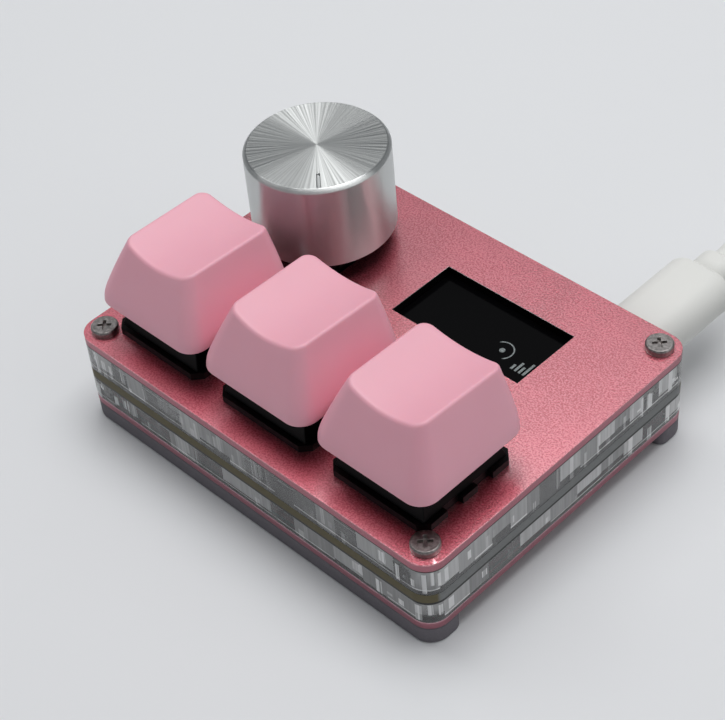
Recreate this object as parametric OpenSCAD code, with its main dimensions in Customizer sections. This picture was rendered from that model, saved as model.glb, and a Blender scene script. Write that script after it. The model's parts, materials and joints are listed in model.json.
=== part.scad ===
// Desk keypad: three mechanical keys, a turning and pressing knob and a small display window.
// The body is a stack: plate, clear frame, circuit board, clear frame, plate, on rubber strips.
// X runs along the key row, Y to the back, Z up. The origin is the middle of the footprint,
// at the underside of the rubber strips. Lengths are millimetres.

/* [Body] */
// Width of the body along the key row
body_w = 61.4; // [60:0.1:72]
// Radius of the body's upright corners
corner_r = 2.8; // [2.4:0.1:4]
// Thickness of the top and bottom plates
plate_t = 1.2; // [1:0.1:1.5]
// Thickness of the upper clear frame
upper_t = 4; // [3.9:0.1:4.4]
// Thickness of the circuit board
board_t = 1.6; // [1.2:0.1:1.8]
// Thickness of the lower clear frame
lower_t = 3.3; // [3:0.1:5]
// Thickness of the rubber strips under the body
foot_t = 2.6; // [1.5:0.1:4]
// Width of each rubber strip, from front to back
foot_w = 5.3; // [4:0.1:6]

/* [Screws] */
// Distance of each corner screw from the two edges
screw_inset = 2.8; // [2.6:0.1:3.2]
// Diameter of the screw's shank
screw_d = 2; // [1.6:0.1:2.2]
// Diameter of the screw's head
screw_head_d = 3.6; // [3.2:0.1:4.2]
// Height of the screw's head
screw_head_h = 0.9; // [0.8:0.1:1.5]

/* [Keys] */
// Distance between neighbouring key centres
key_pitch = 19.05; // [18.8:0.05:19.5]
// Distance of the key row's centre line from the front edge
key_inset = 11.55; // [11:0.05:12]
// Distance from the key row's centre line back to the knob's axis
row_step = 22.55; // [21.5:0.05:30]
// How far a key goes down
key_travel = 4; // [3:0.1:4]
// Width of a keycap at its skirt, both ways
cap_w = 18; // [17.8:0.1:18.4]
// Height of the keycap's front rim above its skirt
cap_front_h = 8.9; // [8:0.1:9]
// Height of the keycap's back rim above its skirt
cap_back_h = 8.4; // [7.7:0.1:9]
// Width of the keycap's top
cap_top_w = 11.7; // [11.4:0.1:12.6]
// How far the top's front rim stands behind the skirt's front
cap_front_set = 3.8; // [3:0.1:4]
// How far the top's back rim stands before the skirt's back
cap_back_set = 0.8; // [0.6:0.1:2]
// Depth of the round dish in the keycap's top
cap_dish = 1; // [0.6:0.1:1.1]
// Height of the keycap's skirt above the top plate at rest
cap_lift = 5.5; // [5.4:0.1:5.8]

/* [Knob] */
// Diameter of the knob
knob_d = 19.2; // [17:0.2:20]
// Height of the knob
knob_h = 12.5; // [11:0.5:14]
// Gap between the knob's underside and the top plate at rest
knob_lift = 2.6; // [2.4:0.1:3.2]
// Distance of the knob's axis from the back edge
knob_inset = 13.5; // [13:0.1:14]
// How far the knob goes down when pressed
knob_travel = 0.5; // [0.3:0.1:0.5]
// Direction that the knob's index mark points in at rest, in degrees from the X axis
index_turn = -43; // [-180:1:180]

/* [Display] */
// Width of the window in the top plate
window_w = 20.9; // [18:0.1:22]
// Depth of the window from front to back
window_d = 10.7; // [9:0.1:11.5]
// Distance of the window from the right edge
window_side = 12; // [11.5:0.1:14]
// Distance of the window from the back edge
window_back = 7.9; // [7.8:0.1:9]

/* [Lead] */
// Distance of the socket's centre from the right edge
usb_side = 8.9; // [8.9:0.1:10]
// Width of the moulded grip of the plug at the keypad
plug_w = 9.9; // [9.6:0.1:12]
// Thickness of that grip
plug_t = 6.4; // [6:0.1:7]
// Length of that grip
plug_l = 14.3; // [13.5:0.1:14.3]
// Diameter of the cable
cord_d = 3.8; // [3.6:0.1:3.8]

/* [Hidden] */

// Fineness of circles, and of the children of a hull
$fn = 64;
// Overrun of a cut past the face that it opens
over = 0.5;
// Clearance all round a piece that is dropped into a cut-out or slides in one
fit_gap = 0.05;
// Clearance all round a piece that has room about it
free_gap = 0.15;

// Depth of the body from front to back
body_d = key_inset + row_step + knob_inset;

// Heights of the stack, each at the underside of its layer
z_bottom = foot_t;
z_lower = z_bottom + plate_t;
z_board = z_lower + lower_t;
z_upper = z_board + board_t;
z_top = z_upper + upper_t;
z_deck = z_top + plate_t;

// Screws: clearance holes in the stack, threads in the bottom plate
screw_gap = 0.1;
screw_hole_d = screw_d + 2 * screw_gap;
screw_stop = plate_t / 4;
screw_x = body_w / 2 - screw_inset;
screw_y = body_d / 2 - screw_inset;
screw_places = [for (sx = [-1, 1], sy = [-1, 1]) [sx * screw_x, sy * screw_y]];
thread_gap = fit_gap / 2;
recess_share = 0.5;
recess_slot_share = 0.12;

// Rubber strips: a little inside the plate's edge
foot_inset = 0.05;
foot_r = foot_w / 4;

// Keys
key_y = key_inset - body_d / 2;
key_places = [for (i = [-1, 0, 1]) [i * key_pitch, key_y]];

// Key switch, with heights from the top plate's upper face
sw_w = 13.95;
sw_depth = 5;
sw_rise = 6.6;
sw_wall = 1.1;
sw_floor = 1;
sw_flange_w = 15.6;
sw_flange_t = 1;
sw_flange_cut = 1.2;
sw_notch = 2.6;
sw_rib = 2.5;
sw_notch_in = 0.8;
pole_d = 4;
pole_l = 3.3;
guide_d = 3.4;
guide_h = 3.2;
stem_pole_d = 2.4;
stem_pole_tip = 1.5;
cover_w = 14.2;
cover_top_w = 10.4;
cover_top_d = 10;
cover_wall = 1;
stem_w = 6.9;
stem_d = 5.5;
stem_h = 5;
lug_w = 8.6;
lug_d = 3;
stem_bore_d = 4.8;
stem_bore_h = 3.4;
cross_l = 4;
cross_across_t = 1.2;
cross_along_t = 1.1;
cross_h = 3.6;
spring_d = 4.1;
spring_wire = 0.28;
spring_turns = 8;
wire_sides = 6;
steps_per_turn = 8;
leaf_t = 0.3;
pin_w = 1;
pin_hole_d = 1.5;
leaf_room = 1.575;
leaf_rise = 4;
leaf_y = sw_w / 2 - sw_wall - leaf_room;
// Solder pins stand on a grid of an eleventh of the housing, close to 1.27 mm
pin_step = sw_w / 11;
pin_left = [-3 * pin_step, 2 * pin_step];
pin_right = [2 * pin_step, 4 * pin_step];
sw_cut = sw_w + 2 * fit_gap;
sw_pocket = sw_w + 4 * free_gap;

// Keycap, with heights from its skirt
cap_wall = 1.3;
cap_crown = 1.5;
cap_lip = 1;
cap_r = 2.6;
cap_top_r = 1.5;
cap_boss_d = 5.6;
cap_bulge = 0.1;
corner_steps = 6;
cap_levels = 5;

// Encoder, with heights from the top plate's upper face
enc_w = 11.7;
enc_d = 12.4;
enc_rise = 1;
enc_floor = 0.8;
enc_well_d = 10.4;
enc_shelf_d = 7.6;
enc_lid_t = 0.6;
enc_leg_t = 0.5;
enc_leg_w = 8;
enc_tab_w = 2;
enc_tab_l = 0.8;
bush_d = 7;
bush_l = 4.9;
shaft_d = 6;
shaft_flat = 1.5;
shaft_l = 9.7;
neck_d = 4.5;
neck_flat = 1.2;
collar_d = 7.4;
collar_t = 0.6;
run_gap = 0.03;
rotor_d = 9.6;
rotor_t = 1.4;
rotor_drop = 2;
dome_d = 5;
dome_h = 0.8;
dome_gap = 0.05;
enc_pin_w = 0.8;
enc_pin_t = 0.3;
enc_pin_pitch = 2.5;
enc_pin_front = 7.5;
enc_pin_back = 7;
enc_pin_hole = 1.2;
enc_pin_l = 1.5;
enc_hole_r = 1.5;
knob_x = -key_pitch;
knob_y = body_d / 2 - knob_inset;

// Knob
knob_wall = 1.9;
knob_crown = 1.8;
knob_bevel = 0.5;
knob_foot_bevel = 0.2;
index_start = 5.4;
index_w = 0.5;
index_depth = 0.3;
index_end = knob_d / 2 - knob_bevel - index_w / 4;
core_recess_d = 8.4;
core_inset = 0.6;

// Display: a glass panel under the window, on a foam pad, with a folded ribbon at its front
glass_w = 26.7;
glass_t = 1.4;
glass_back = 0.5;
glass_front = 2.375;
window_x = body_w / 2 - window_side - window_w / 2;
window_y = body_d / 2 - window_back - window_d / 2;
glass_y1 = window_y + window_d / 2 + glass_back;
glass_y0 = key_y + sw_w / 2 + glass_front;
glass_d = glass_y1 - glass_y0;
glass_z = z_top - fit_gap - glass_t;
pad_w = 21;
pad_inset = 1;
pad_front = 4.3;
pad_d = glass_d - pad_inset - pad_front;
pad_y = glass_y1 - pad_inset - pad_d / 2;
flex_w = 12;
flex_t = 0.2;
flex_lap = 2.2;

// Socket: sunk into a notch of the board, held by its ears
usb_x = body_w / 2 - usb_side;
usb_w = 8.94;
usb_h = 3.26;
usb_wall = 0.3;
usb_l = 6.8;
usb_lift = 0.8;
usb_set = 0.2;
usb_z = z_upper + usb_lift;
usb_mouth = body_d / 2 - usb_set;
ear_w = 0.9;
ear_l = 2;
ear_t = 0.3;
ear_back = 0.4;
tongue_w = 6.7;
tongue_t = 0.7;
tongue_l = 4.6;
block_l = 0.6;

// Pockets in the clear frames
pocket_gap = 0.3;
pocket_r = 0.8;
enc_pocket_w = enc_w + 2 * (enc_leg_t + fit_gap) + 4 * pocket_gap;
enc_pocket_y0 = knob_y - enc_pin_front - 2 * pocket_gap;
enc_pocket_y1 = knob_y + enc_pin_back + 2 * pocket_gap;
disp_x0 = window_x - glass_w / 2 - pocket_gap;
disp_x1 = window_x + glass_w / 2 + pocket_gap;
disp_y0 = glass_y0 - pocket_gap;
disp_y1 = usb_mouth - usb_l - pocket_gap / 3;
ear_y0 = usb_mouth - usb_l + ear_back;
ear_y1 = ear_y0 + ear_l + 2 * free_gap;

// Chip and small parts, on the board's underside
chip_w = 7;
chip_t = 1;
chip_leg = 0.5;
chip_leg_t = 0.15;
part_w = 1.6;
part_d = 2.7;
part_h = 1;
part_step = 3.4;

// Plug at the keypad
plug_gap = 0.3;
plug_shell_w = 8.25;
plug_shell_t = 2.4;
plug_shell_l = 6.3;
plug_slot_w = 6.9;
plug_slot_t = 0.9;
plug_slot_l = 5.2;
plug_round = 2.6;
relief_l = 3.6;
relief_w = 6;
relief_end_d = 4.8;
plug_y0 = body_d / 2 + plug_gap;
plug_y1 = plug_y0 + plug_l;
relief_y1 = plug_y1 + relief_l;

// Coil that puts the rest of the lead away, raised by the tie under it
tie_t = 0.6;
tie_w = 8;
cord_sides = 8;
loop_sides = 6;
loop_steps = 24;
coil_turns = 6.5;
coil_mid_r = 21.6;
climb_turns = 0.5;
turn_gap = 0.5;
coil_pitch = cord_d + turn_gap;
coil_out_r = coil_mid_r + coil_pitch * coil_turns / 4;
coil_x = 49.1;
coil_y = 64;
coil_z = tie_t + free_gap + cord_d / 2;

// Far plug, flat beside the coil
far_w = 15.6;
far_t = 7.8;
far_l = 18;
far_shell_w = 12;
far_shell_t = 4.5;
far_shell_l = 12;
far_wall = 0.3;
far_relief_l = 9;
far_round = 1.6;
tail_end_y = 36;

// Route of the run from the plug's relief to the coil, lying down on the way
run_points = [
    [21.65, 44.8, 9.5], [21.2, 47.6, 8.9], [20.7, 50.4, 7.5],
    [20.4, 53.2, 5.8], [20.3, 56.2, 4.2], [20.4, 59.4, 3.1]
];
// Route of the tail from the coil's upper layer down to the far plug
tail_points = [
    [77.7, 56.5, 6.7], [77.7, 53, 6.1], [77.7, 49.5, 5.3], [77.7, 46, 4.6], [77.7, 42.8, 4.1]
];

// Mixes two values, or two points
function mix(a, b, s) = a + (b - a) * s;
function unit(v) = v / norm(v);

// Direction of a route at point i, from its neighbours
function way(p, i) = unit(p[min(i + 1, len(p) - 1)] - p[max(i - 1, 0)]);
// Ring of a tube at point p, square to direction t
function ring(p, t, r, n) = let (s = unit(cross(t, [0, 0, 1])), u = cross(s, t))
    [for (k = [0 : n - 1]) let (a = 360 * (k + 0.5) / n) p + r * (cos(a) * s + sin(a) * u)];

// Tube of n sides along a route; the ends may be given a direction to be square to
module tube(p, r, n, first = undef, last = undef) {
    m = len(p);
    ways = [for (i = [0 : m - 1])
        i == 0 && !is_undef(first) ? first : i == m - 1 && !is_undef(last) ? last : way(p, i)];
    points = [for (i = [0 : m - 1]) each ring(p[i], ways[i], r, n)];
    sides = [for (i = [0 : m - 2], k = [0 : n - 1]) let (a = i * n + k, b = i * n + (k + 1) % n)
        each [[a, b, b + n], [a, b + n, a + n]]];
    start = [for (k = [1 : n - 2]) [0, k + 1, k]];
    end = [for (k = [1 : n - 2]) let (e = (m - 1) * n) [e, e + k, e + k + 1]];
    polyhedron(points, concat(sides, start, end));
}

// Rectangle with round corners, about the origin
module rounded(w, d, r) {
    square([w - 2 * r, d], center = true);
    square([w, d - 2 * r], center = true);
    for (x = [-1, 1], y = [-1, 1])
        translate([x * (w / 2 - r), y * (d / 2 - r)]) circle(r);
}

// Rectangle with round corners between two corners
module pocket(x0, x1, y0, y1, r) {
    translate([(x0 + x1) / 2, (y0 + y1) / 2]) rounded(x1 - x0, y1 - y0, r);
}

// Slot with half-round ends
module stadium(w, h) {
    square([w - h, h], center = true);
    for (x = [-1, 1]) translate([x * (w - h) / 2, 0]) circle(h / 2);
}

// Box centred on X and Y, standing on its own zero
module box(w, d, h) {
    translate([-w / 2, -d / 2, 0]) cube([w, d, h]);
}

// Stadium drawn along Y, from y0 to y1 at height z
module stadium_bar(w, h, y0, y1, x, z) {
    translate([x, y1, z]) rotate([90, 0, 0]) linear_extrude(y1 - y0) stadium(w, h);
}

// Block that tapers from one rectangle to another
module taper(w0, d0, w1, d1, h) {
    corners = [for (s = [[w0, d0, 0], [w1, d1, h]])
        each [[-s[0] / 2, -s[1] / 2, s[2]], [s[0] / 2, -s[1] / 2, s[2]],
              [s[0] / 2, s[1] / 2, s[2]], [-s[0] / 2, s[1] / 2, s[2]]]];
    polyhedron(corners, [[0, 1, 2, 3], [7, 6, 5, 4],
        [0, 4, 5, 1], [1, 5, 6, 2], [2, 6, 7, 3], [3, 7, 4, 0]]);
}

module screw_holes(d, z, h) {
    for (p = screw_places) translate([p[0], p[1], z - over]) cylinder(d = d, h = h + 2 * over);
}

module top_plate() {
    color("palevioletred") difference() {
        translate([0, 0, z_top]) linear_extrude(plate_t) rounded(body_w, body_d, corner_r);
        translate([0, 0, z_top - over]) linear_extrude(plate_t + 2 * over) {
            for (p = key_places) translate(p) square(sw_cut, center = true);
            translate([knob_x, knob_y])
                rounded(enc_pocket_w - 2 * pocket_gap, enc_d + 2 * pocket_gap, enc_hole_r);
            translate([window_x, window_y]) square([window_w, window_d], center = true);
        }
        screw_holes(screw_hole_d, z_top, plate_t);
    }
}

module bottom_plate() {
    color("palevioletred") difference() {
        translate([0, 0, z_bottom]) linear_extrude(plate_t) rounded(body_w, body_d, corner_r);
        screw_holes(screw_d + 2 * thread_gap, z_bottom, plate_t);
    }
}

module upper_frame() {
    color("whitesmoke", 0.4) difference() {
        translate([0, 0, z_upper]) linear_extrude(upper_t) rounded(body_w, body_d, corner_r);
        translate([0, 0, z_upper - over]) linear_extrude(upper_t + 2 * over) {
            for (p = key_places) translate(p) rounded(sw_pocket, sw_pocket, pocket_r);
            pocket(knob_x - enc_pocket_w / 2, knob_x + enc_pocket_w / 2,
                enc_pocket_y0, enc_pocket_y1, pocket_r);
            pocket(disp_x0, disp_x1, disp_y0, disp_y1, pocket_r);
            translate([usb_x - usb_w / 2 - free_gap, ear_y0 - over])
                square([usb_w + 2 * free_gap, body_d / 2 - ear_y0 + 2 * over]);
            translate([usb_x - usb_w / 2 - ear_w - free_gap, disp_y1 - pocket_r - over])
                square([usb_w + 2 * (ear_w + free_gap), ear_y1 - disp_y1 + pocket_r + over]);
        }
        screw_holes(screw_hole_d, z_upper, upper_t);
    }
}

module lower_frame() {
    color("whitesmoke", 0.4) difference() {
        translate([0, 0, z_lower]) linear_extrude(lower_t) rounded(body_w, body_d, corner_r);
        translate([0, 0, z_lower - over]) linear_extrude(lower_t + 2 * over) {
            for (p = key_places) translate(p) rounded(sw_pocket, sw_pocket, pocket_r);
            pocket(knob_x - enc_pocket_w / 2, disp_x1, disp_y0, enc_pocket_y1, pocket_r);
        }
        screw_holes(screw_hole_d, z_lower, lower_t);
    }
}

module main_board() {
    color("darkolivegreen") difference() {
        translate([0, 0, z_board]) linear_extrude(board_t) rounded(body_w, body_d, corner_r);
        translate([0, 0, z_board - over]) linear_extrude(board_t + 2 * over) {
            for (p = key_places) translate(p) {
                circle(d = pole_d + 2 * free_gap);
                for (q = [pin_left, pin_right]) translate(q) circle(d = pin_hole_d);
            }
            translate([knob_x, knob_y]) {
                for (p = encoder_pin_places()) translate(p) circle(d = enc_pin_hole);
                for (x = [-1, 1]) translate([x * (enc_w / 2 + fit_gap + enc_leg_t / 2), 0])
                    square([enc_leg_t + 2 * free_gap, enc_tab_w + 2 * free_gap], center = true);
            }
            translate([usb_x - usb_w / 2 - free_gap, usb_mouth - usb_l - free_gap])
                square([usb_w + 2 * free_gap, usb_l + usb_set + free_gap + over]);
        }
        screw_holes(screw_hole_d, z_board, board_t);
    }
}

// Strip that follows the plate's two corners on one side; side is -1 at the front
module foot(side) {
    color("dimgray") linear_extrude(foot_t) intersection() {
        rounded(body_w - 2 * foot_inset, body_d - 2 * foot_inset, corner_r - foot_inset);
        translate([0, side * (body_d / 2 - foot_inset - foot_w / 2 + foot_r)])
            rounded(body_w - 2 * foot_inset, foot_w + 2 * foot_r, foot_r);
    }
}

// Flat-headed screws with a cross recess; the thread is left as a plain shank
module corner_screws() {
    r = screw_head_d / 2;
    edge = screw_head_h / 5;
    for (p = screw_places) translate([p[0], p[1], z_deck]) color("slategray") difference() {
        union() {
            rotate_extrude() polygon([[0, 0], [r, 0], [r, screw_head_h - edge],
                [r - edge, screw_head_h], [0, screw_head_h]]);
            translate([0, 0, z_bottom + screw_stop - z_deck])
                cylinder(d = screw_d, h = z_deck - z_bottom - screw_stop + over / 2);
        }
        for (turn = [0, 90]) rotate(turn + 45) translate([0, 0, 2 * edge])
            box(screw_head_d * recess_share, screw_head_d * recess_slot_share, screw_head_h);
    }
}

module display_glass() {
    color("black") translate([window_x, (glass_y0 + glass_y1) / 2, glass_z])
        box(glass_w, glass_d, glass_t);
}

module display_pad() {
    color("darkslategray") translate([window_x, pad_y, z_upper]) box(pad_w, pad_d, glass_z - z_upper);
}

// Ribbon bonded under the glass, turned over once and soldered to the board
module display_flex() {
    rise = glass_z - z_upper;
    bend_r = rise / 2;
    y0 = glass_y0 + bend_r + fit_gap;
    color("darkorange") translate([window_x - flex_w / 2, 0, 0]) rotate([90, 0, 90])
        linear_extrude(flex_w) {
            translate([y0, z_upper]) square([flex_lap - bend_r / 2, flex_t]);
            translate([y0, glass_z - flex_t]) square([flex_lap - bend_r / 2, flex_t]);
            translate([y0, z_upper + bend_r]) difference() {
                circle(bend_r);
                circle(bend_r - flex_t);
                translate([0, -rise]) square([rise, 2 * rise]);
            }
        }
}

// Metal shell of the socket, closed at its back, with an ear on each side that sits on the board
module usb_socket_shell() {
    color("silver") {
        difference() {
            stadium_bar(usb_w, usb_h, usb_mouth - usb_l, usb_mouth, usb_x, usb_z);
            stadium_bar(usb_w - 2 * usb_wall, usb_h - 2 * usb_wall,
                usb_mouth - usb_l + usb_wall, usb_mouth + over, usb_x, usb_z);
        }
        for (x = [-1, 1]) translate([usb_x + x * (usb_w + ear_w - usb_wall / 2) / 2,
            ear_y0 + ear_l / 2, z_upper]) box(ear_w + usb_wall / 2, ear_l, ear_t);
    }
}

// Insulator at the back of the socket, with the tongue that stands in it
module usb_socket_tongue() {
    back = usb_mouth - usb_l + usb_wall;
    color("dimgray") {
        stadium_bar(usb_w - 2 * usb_wall - 2 * fit_gap, usb_h - 2 * usb_wall - 2 * fit_gap,
            back, back + block_l, usb_x, usb_z);
        translate([usb_x, back + block_l + tongue_l / 2 - over / 2, usb_z - tongue_t / 2])
            box(tongue_w, tongue_l + over, tongue_t);
    }
}

// Square chip with a row of legs on each side, under the board
module controller_chip() {
    pitch = chip_w / 8;
    color("black") translate([window_x, window_y, z_board - chip_t]) box(chip_w, chip_w, chip_t);
    color("silver") translate([window_x, window_y, z_board - chip_t / 2])
        for (turn = [0 : 90 : 270], i = [-3 : 3]) rotate(turn)
            translate([chip_w / 2 + chip_leg / 2 - over / 4, i * pitch, 0])
                box(chip_leg + over / 2, pitch / 2, chip_leg_t);
}

// A diode before each switch and a row of capacitors beside the chip, under the board
module board_parts() {
    color("dimgray") for (p = key_places)
        translate([p[0], p[1] - sw_w / 2 + part_w, z_board - part_h])
            box(part_d, part_w, part_h);
    color("tan") for (i = [-1 : 1])
        translate([window_x - chip_w, window_y + i * part_step, z_board - part_h])
            box(part_w, part_d, part_h);
}

// Outline of the switch's flange: cut corners, and on the left and right two notches
module flange_outline() {
    h = sw_flange_w / 2;
    c = sw_flange_cut;
    difference() {
        polygon([[c - h, -h], [h - c, -h], [h, c - h], [h, h - c],
            [h - c, h], [c - h, h], [-h, h - c], [-h, c - h]]);
        for (x = [-1, 1], y = [-1, 1])
            translate([x * h, y * (sw_rib + sw_notch) / 2])
                square([2 * sw_notch_in, sw_notch], center = true);
    }
}

module switch_base(i) {
    inner = sw_w - 2 * sw_wall;
    color("black") translate([key_places[i][0], key_places[i][1], z_deck]) difference() {
        union() {
            difference() {
                union() {
                    translate([0, 0, -sw_depth]) box(sw_w, sw_w, sw_depth + sw_flange_t / 2);
                    linear_extrude(sw_flange_t) flange_outline();
                }
                translate([0, 0, sw_floor - sw_depth]) box(inner, inner, sw_depth + sw_flange_t);
            }
            translate([0, 0, sw_floor - sw_depth - over / 2]) cylinder(d = guide_d, h = guide_h + over / 2);
            translate([0, 0, -sw_depth - pole_l]) cylinder(d = pole_d, h = pole_l + over / 2);
        }
        translate([0, 0, sw_floor - sw_depth - pole_l])
            cylinder(d = stem_pole_d + 4 * run_gap, h = pole_l + guide_h + over);
        for (q = [pin_left, pin_right]) translate([q[0], q[1], -sw_depth - over])
            box(pin_w + 2 * fit_gap, leaf_t + 2 * fit_gap, sw_floor + 2 * over);
    }
}

module switch_cover(i) {
    h = sw_rise - sw_flange_t;
    inset = 2 * cover_wall;
    color("black") translate([key_places[i][0], key_places[i][1], z_deck + sw_flange_t]) difference() {
        taper(cover_w, cover_w, cover_top_w, cover_top_d, h);
        translate([0, 0, -over / 10]) taper(cover_w - inset, cover_w - inset,
            cover_top_w - inset / 2, cover_top_d - inset / 2, h - cover_wall + over / 10);
        translate([0, 0, h - cover_wall - over])
            box(stem_w + 2 * free_gap, stem_d + 2 * free_gap, cover_wall + 2 * over);
    }
}

// Sliding stem: body with two stop lugs, a bore for the spring, a pole and the cross for the cap
module switch_stem(i) {
    foot_z = sw_rise - stem_h;
    lug_h = sw_rise - cover_wall - 2 * fit_gap - foot_z;
    color("saddlebrown") translate([key_places[i][0], key_places[i][1], z_deck]) {
        difference() {
            union() {
                translate([0, 0, foot_z]) box(stem_w, stem_d, stem_h);
                translate([0, 0, foot_z]) box(lug_w, lug_d, lug_h);
            }
            translate([0, 0, foot_z - over]) cylinder(d = stem_bore_d, h = stem_bore_h + over);
        }
        translate([0, 0, -stem_pole_tip])
            cylinder(d = stem_pole_d, h = stem_pole_tip + foot_z + stem_bore_h + over);
        translate([0, 0, sw_rise - over]) {
            box(cross_l, cross_across_t, cross_h + over);
            box(cross_along_t, cross_l, cross_h + over);
        }
    }
}

module switch_spring(i) {
    low = sw_floor - sw_depth + spring_wire / 2 + fit_gap;
    high = sw_rise - stem_h + stem_bore_h - spring_wire / 2 - fit_gap;
    steps = spring_turns * steps_per_turn;
    route = [for (k = [0 : steps]) let (a = 360 * k / steps_per_turn)
        [spring_d / 2 * cos(a), spring_d / 2 * sin(a), mix(low, high, k / steps)]];
    color("silver") translate([key_places[i][0], key_places[i][1], z_deck])
        tube(route, spring_wire / 2, wire_sides);
}

// Two contacts: a solder pin each, and a leaf that stands in the housing behind the stem
module switch_contacts(i) {
    floor_z = sw_floor - sw_depth;
    pin_z = -sw_depth - pole_l;
    color("goldenrod") translate([key_places[i][0], key_places[i][1], z_deck]) {
        translate([pin_right[0], pin_right[1], pin_z]) box(pin_w, leaf_t, leaf_rise - pin_z + floor_z);
        translate([pin_left[0], pin_left[1], pin_z]) box(pin_w, leaf_t, floor_z - pin_z + fit_gap + leaf_t);
        translate([pin_left[0], (pin_left[1] + leaf_y) / 2, floor_z + fit_gap])
            box(pin_w, leaf_y - pin_left[1] + leaf_t, leaf_t);
        translate([pin_left[0], leaf_y, floor_z + fit_gap]) box(pin_w, leaf_t, leaf_rise - fit_gap);
    }
}

// Loop of a keycap's outline: half width, front and back distances, corner radius and height
function cap_loop(hw, front, back, r, z) = [for (q = [0 : 3], k = [0 : corner_steps])
    let (a = 90 * q + 90 * k / corner_steps,
         cx = (q == 0 || q == 3 ? 1 : -1) * (hw - r),
         cy = q < 2 ? back - r : r - front)
    [cx + r * cos(a), cy + r * sin(a), z]];

// Solid through a stack of loops of equal count
module loft(loops) {
    n = len(loops[0]);
    m = len(loops);
    points = [for (l = loops) each l];
    sides = [for (i = [0 : m - 2], k = [0 : n - 1]) let (a = i * n + k, b = i * n + (k + 1) % n)
        each [[a, b + n, b], [a, a + n, b + n]]];
    start = [for (k = [1 : n - 2]) [0, k, k + 1]];
    end = [for (k = [1 : n - 2]) let (e = (m - 1) * n) [e, e + k + 1, e + k]];
    polyhedron(points, concat(sides, start, end));
}

// Keycap: upright lip, sides that lean in with a slight bulge, and a round dish along Y
module keycap(i) {
    w = cap_w / 2;
    crown = max(cap_front_h, cap_back_h) + cap_dish / 3;
    front1 = w - cap_front_set;
    back1 = w - cap_back_set;
    slope = atan((cap_back_h - cap_front_h) / (front1 + back1));
    dish_r = (pow(cap_top_w / 2, 2) + pow(cap_dish, 2)) / (2 * cap_dish);
    outer = concat([cap_loop(w, w, w, cap_r, 0)], [for (k = [0 : cap_levels]) let (
            s = k / cap_levels, bulge = cap_bulge * sin(180 * s),
            t = (crown - cap_lip) / (cap_front_h - cap_lip) * s)
        cap_loop(mix(w, cap_top_w / 2, t) + bulge, mix(w, front1, t) + bulge,
            mix(w, back1, t) + bulge / 4, mix(cap_r, cap_top_r, s), mix(cap_lip, crown, s))]);
    hollow_h = min(cap_front_h, cap_back_h) - cap_dish - cap_crown;
    lean = hollow_h / cap_front_h;
    inner_r = cap_r - cap_wall / 2;
    inner = [cap_loop(w - cap_wall, w - cap_wall, w - cap_wall, inner_r, -over),
        cap_loop(w - cap_wall, w - cap_wall, w - cap_wall, inner_r, cap_lip),
        cap_loop(mix(w, cap_top_w / 2, lean) - cap_wall, mix(w, front1, lean) - cap_wall,
            mix(w, back1, lean) - cap_wall, inner_r, hollow_h)];
    boss_z = sw_rise - cap_lift;
    color("pink") translate([key_places[i][0], key_places[i][1], z_deck + cap_lift]) difference() {
        union() {
            difference() {
                loft(outer);
                translate([0, (back1 - front1) / 2, (cap_front_h + cap_back_h) / 2 - cap_dish + dish_r])
                    rotate([90 + slope, 0, 0]) cylinder(r = dish_r, h = 2 * cap_w, center = true, $fn = 128);
                loft(inner);
            }
            translate([0, 0, boss_z]) cylinder(d = cap_boss_d, h = hollow_h - boss_z + over);
        }
        translate([0, 0, boss_z - over]) {
            box(cross_l + 2 * fit_gap, cross_across_t + 2 * fit_gap, cross_h + over + 4 * fit_gap);
            box(cross_along_t + 2 * fit_gap, cross_l + 2 * fit_gap, cross_h + over + 4 * fit_gap);
        }
    }
}

function encoder_pin_places() = concat(
    [for (i = [-1 : 1]) [i * enc_pin_pitch, -enc_pin_front]],
    [for (i = [-1, 1]) [i * enc_pin_pitch, enc_pin_back]]);

module at_encoder() {
    translate([knob_x, knob_y, z_deck]) children();
}

// Housing with a well for the rotor, which turns on a shelf above the dome
module encoder_base() {
    base_z = z_upper - z_deck;
    color("black") at_encoder() translate([0, 0, base_z]) difference() {
        box(enc_w, enc_d, enc_rise - base_z);
        translate([0, 0, enc_floor]) cylinder(d = enc_shelf_d, h = enc_rise - base_z);
        translate([0, 0, -rotor_drop - run_gap - base_z]) cylinder(d = enc_well_d, h = enc_rise - base_z);
    }
}

// Metal lid with the threaded bushing, and a leg down each side that ends in a tab in the board
module encoder_cover() {
    board_z = z_upper - z_deck;
    color("silver") at_encoder() difference() {
        union() {
            translate([0, 0, enc_rise]) box(enc_w + 2 * (enc_leg_t + fit_gap), enc_d, enc_lid_t);
            translate([0, 0, enc_rise + enc_lid_t / 2]) cylinder(d = bush_d, h = bush_l + enc_lid_t / 2);
            for (x = [-1, 1]) translate([x * (enc_w / 2 + fit_gap + enc_leg_t / 2), 0, 0]) {
                translate([0, 0, board_z + fit_gap])
                    box(enc_leg_t, enc_leg_w, enc_rise - board_z - fit_gap + enc_lid_t / 2);
                translate([0, 0, board_z - board_t - enc_tab_l])
                    box(enc_leg_t, enc_tab_w, board_t + enc_tab_l + fit_gap + over);
            }
        }
        translate([0, 0, enc_rise - over])
            cylinder(d = shaft_d + 2 * run_gap, h = bush_l + enc_lid_t + 2 * over);
    }
}

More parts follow.
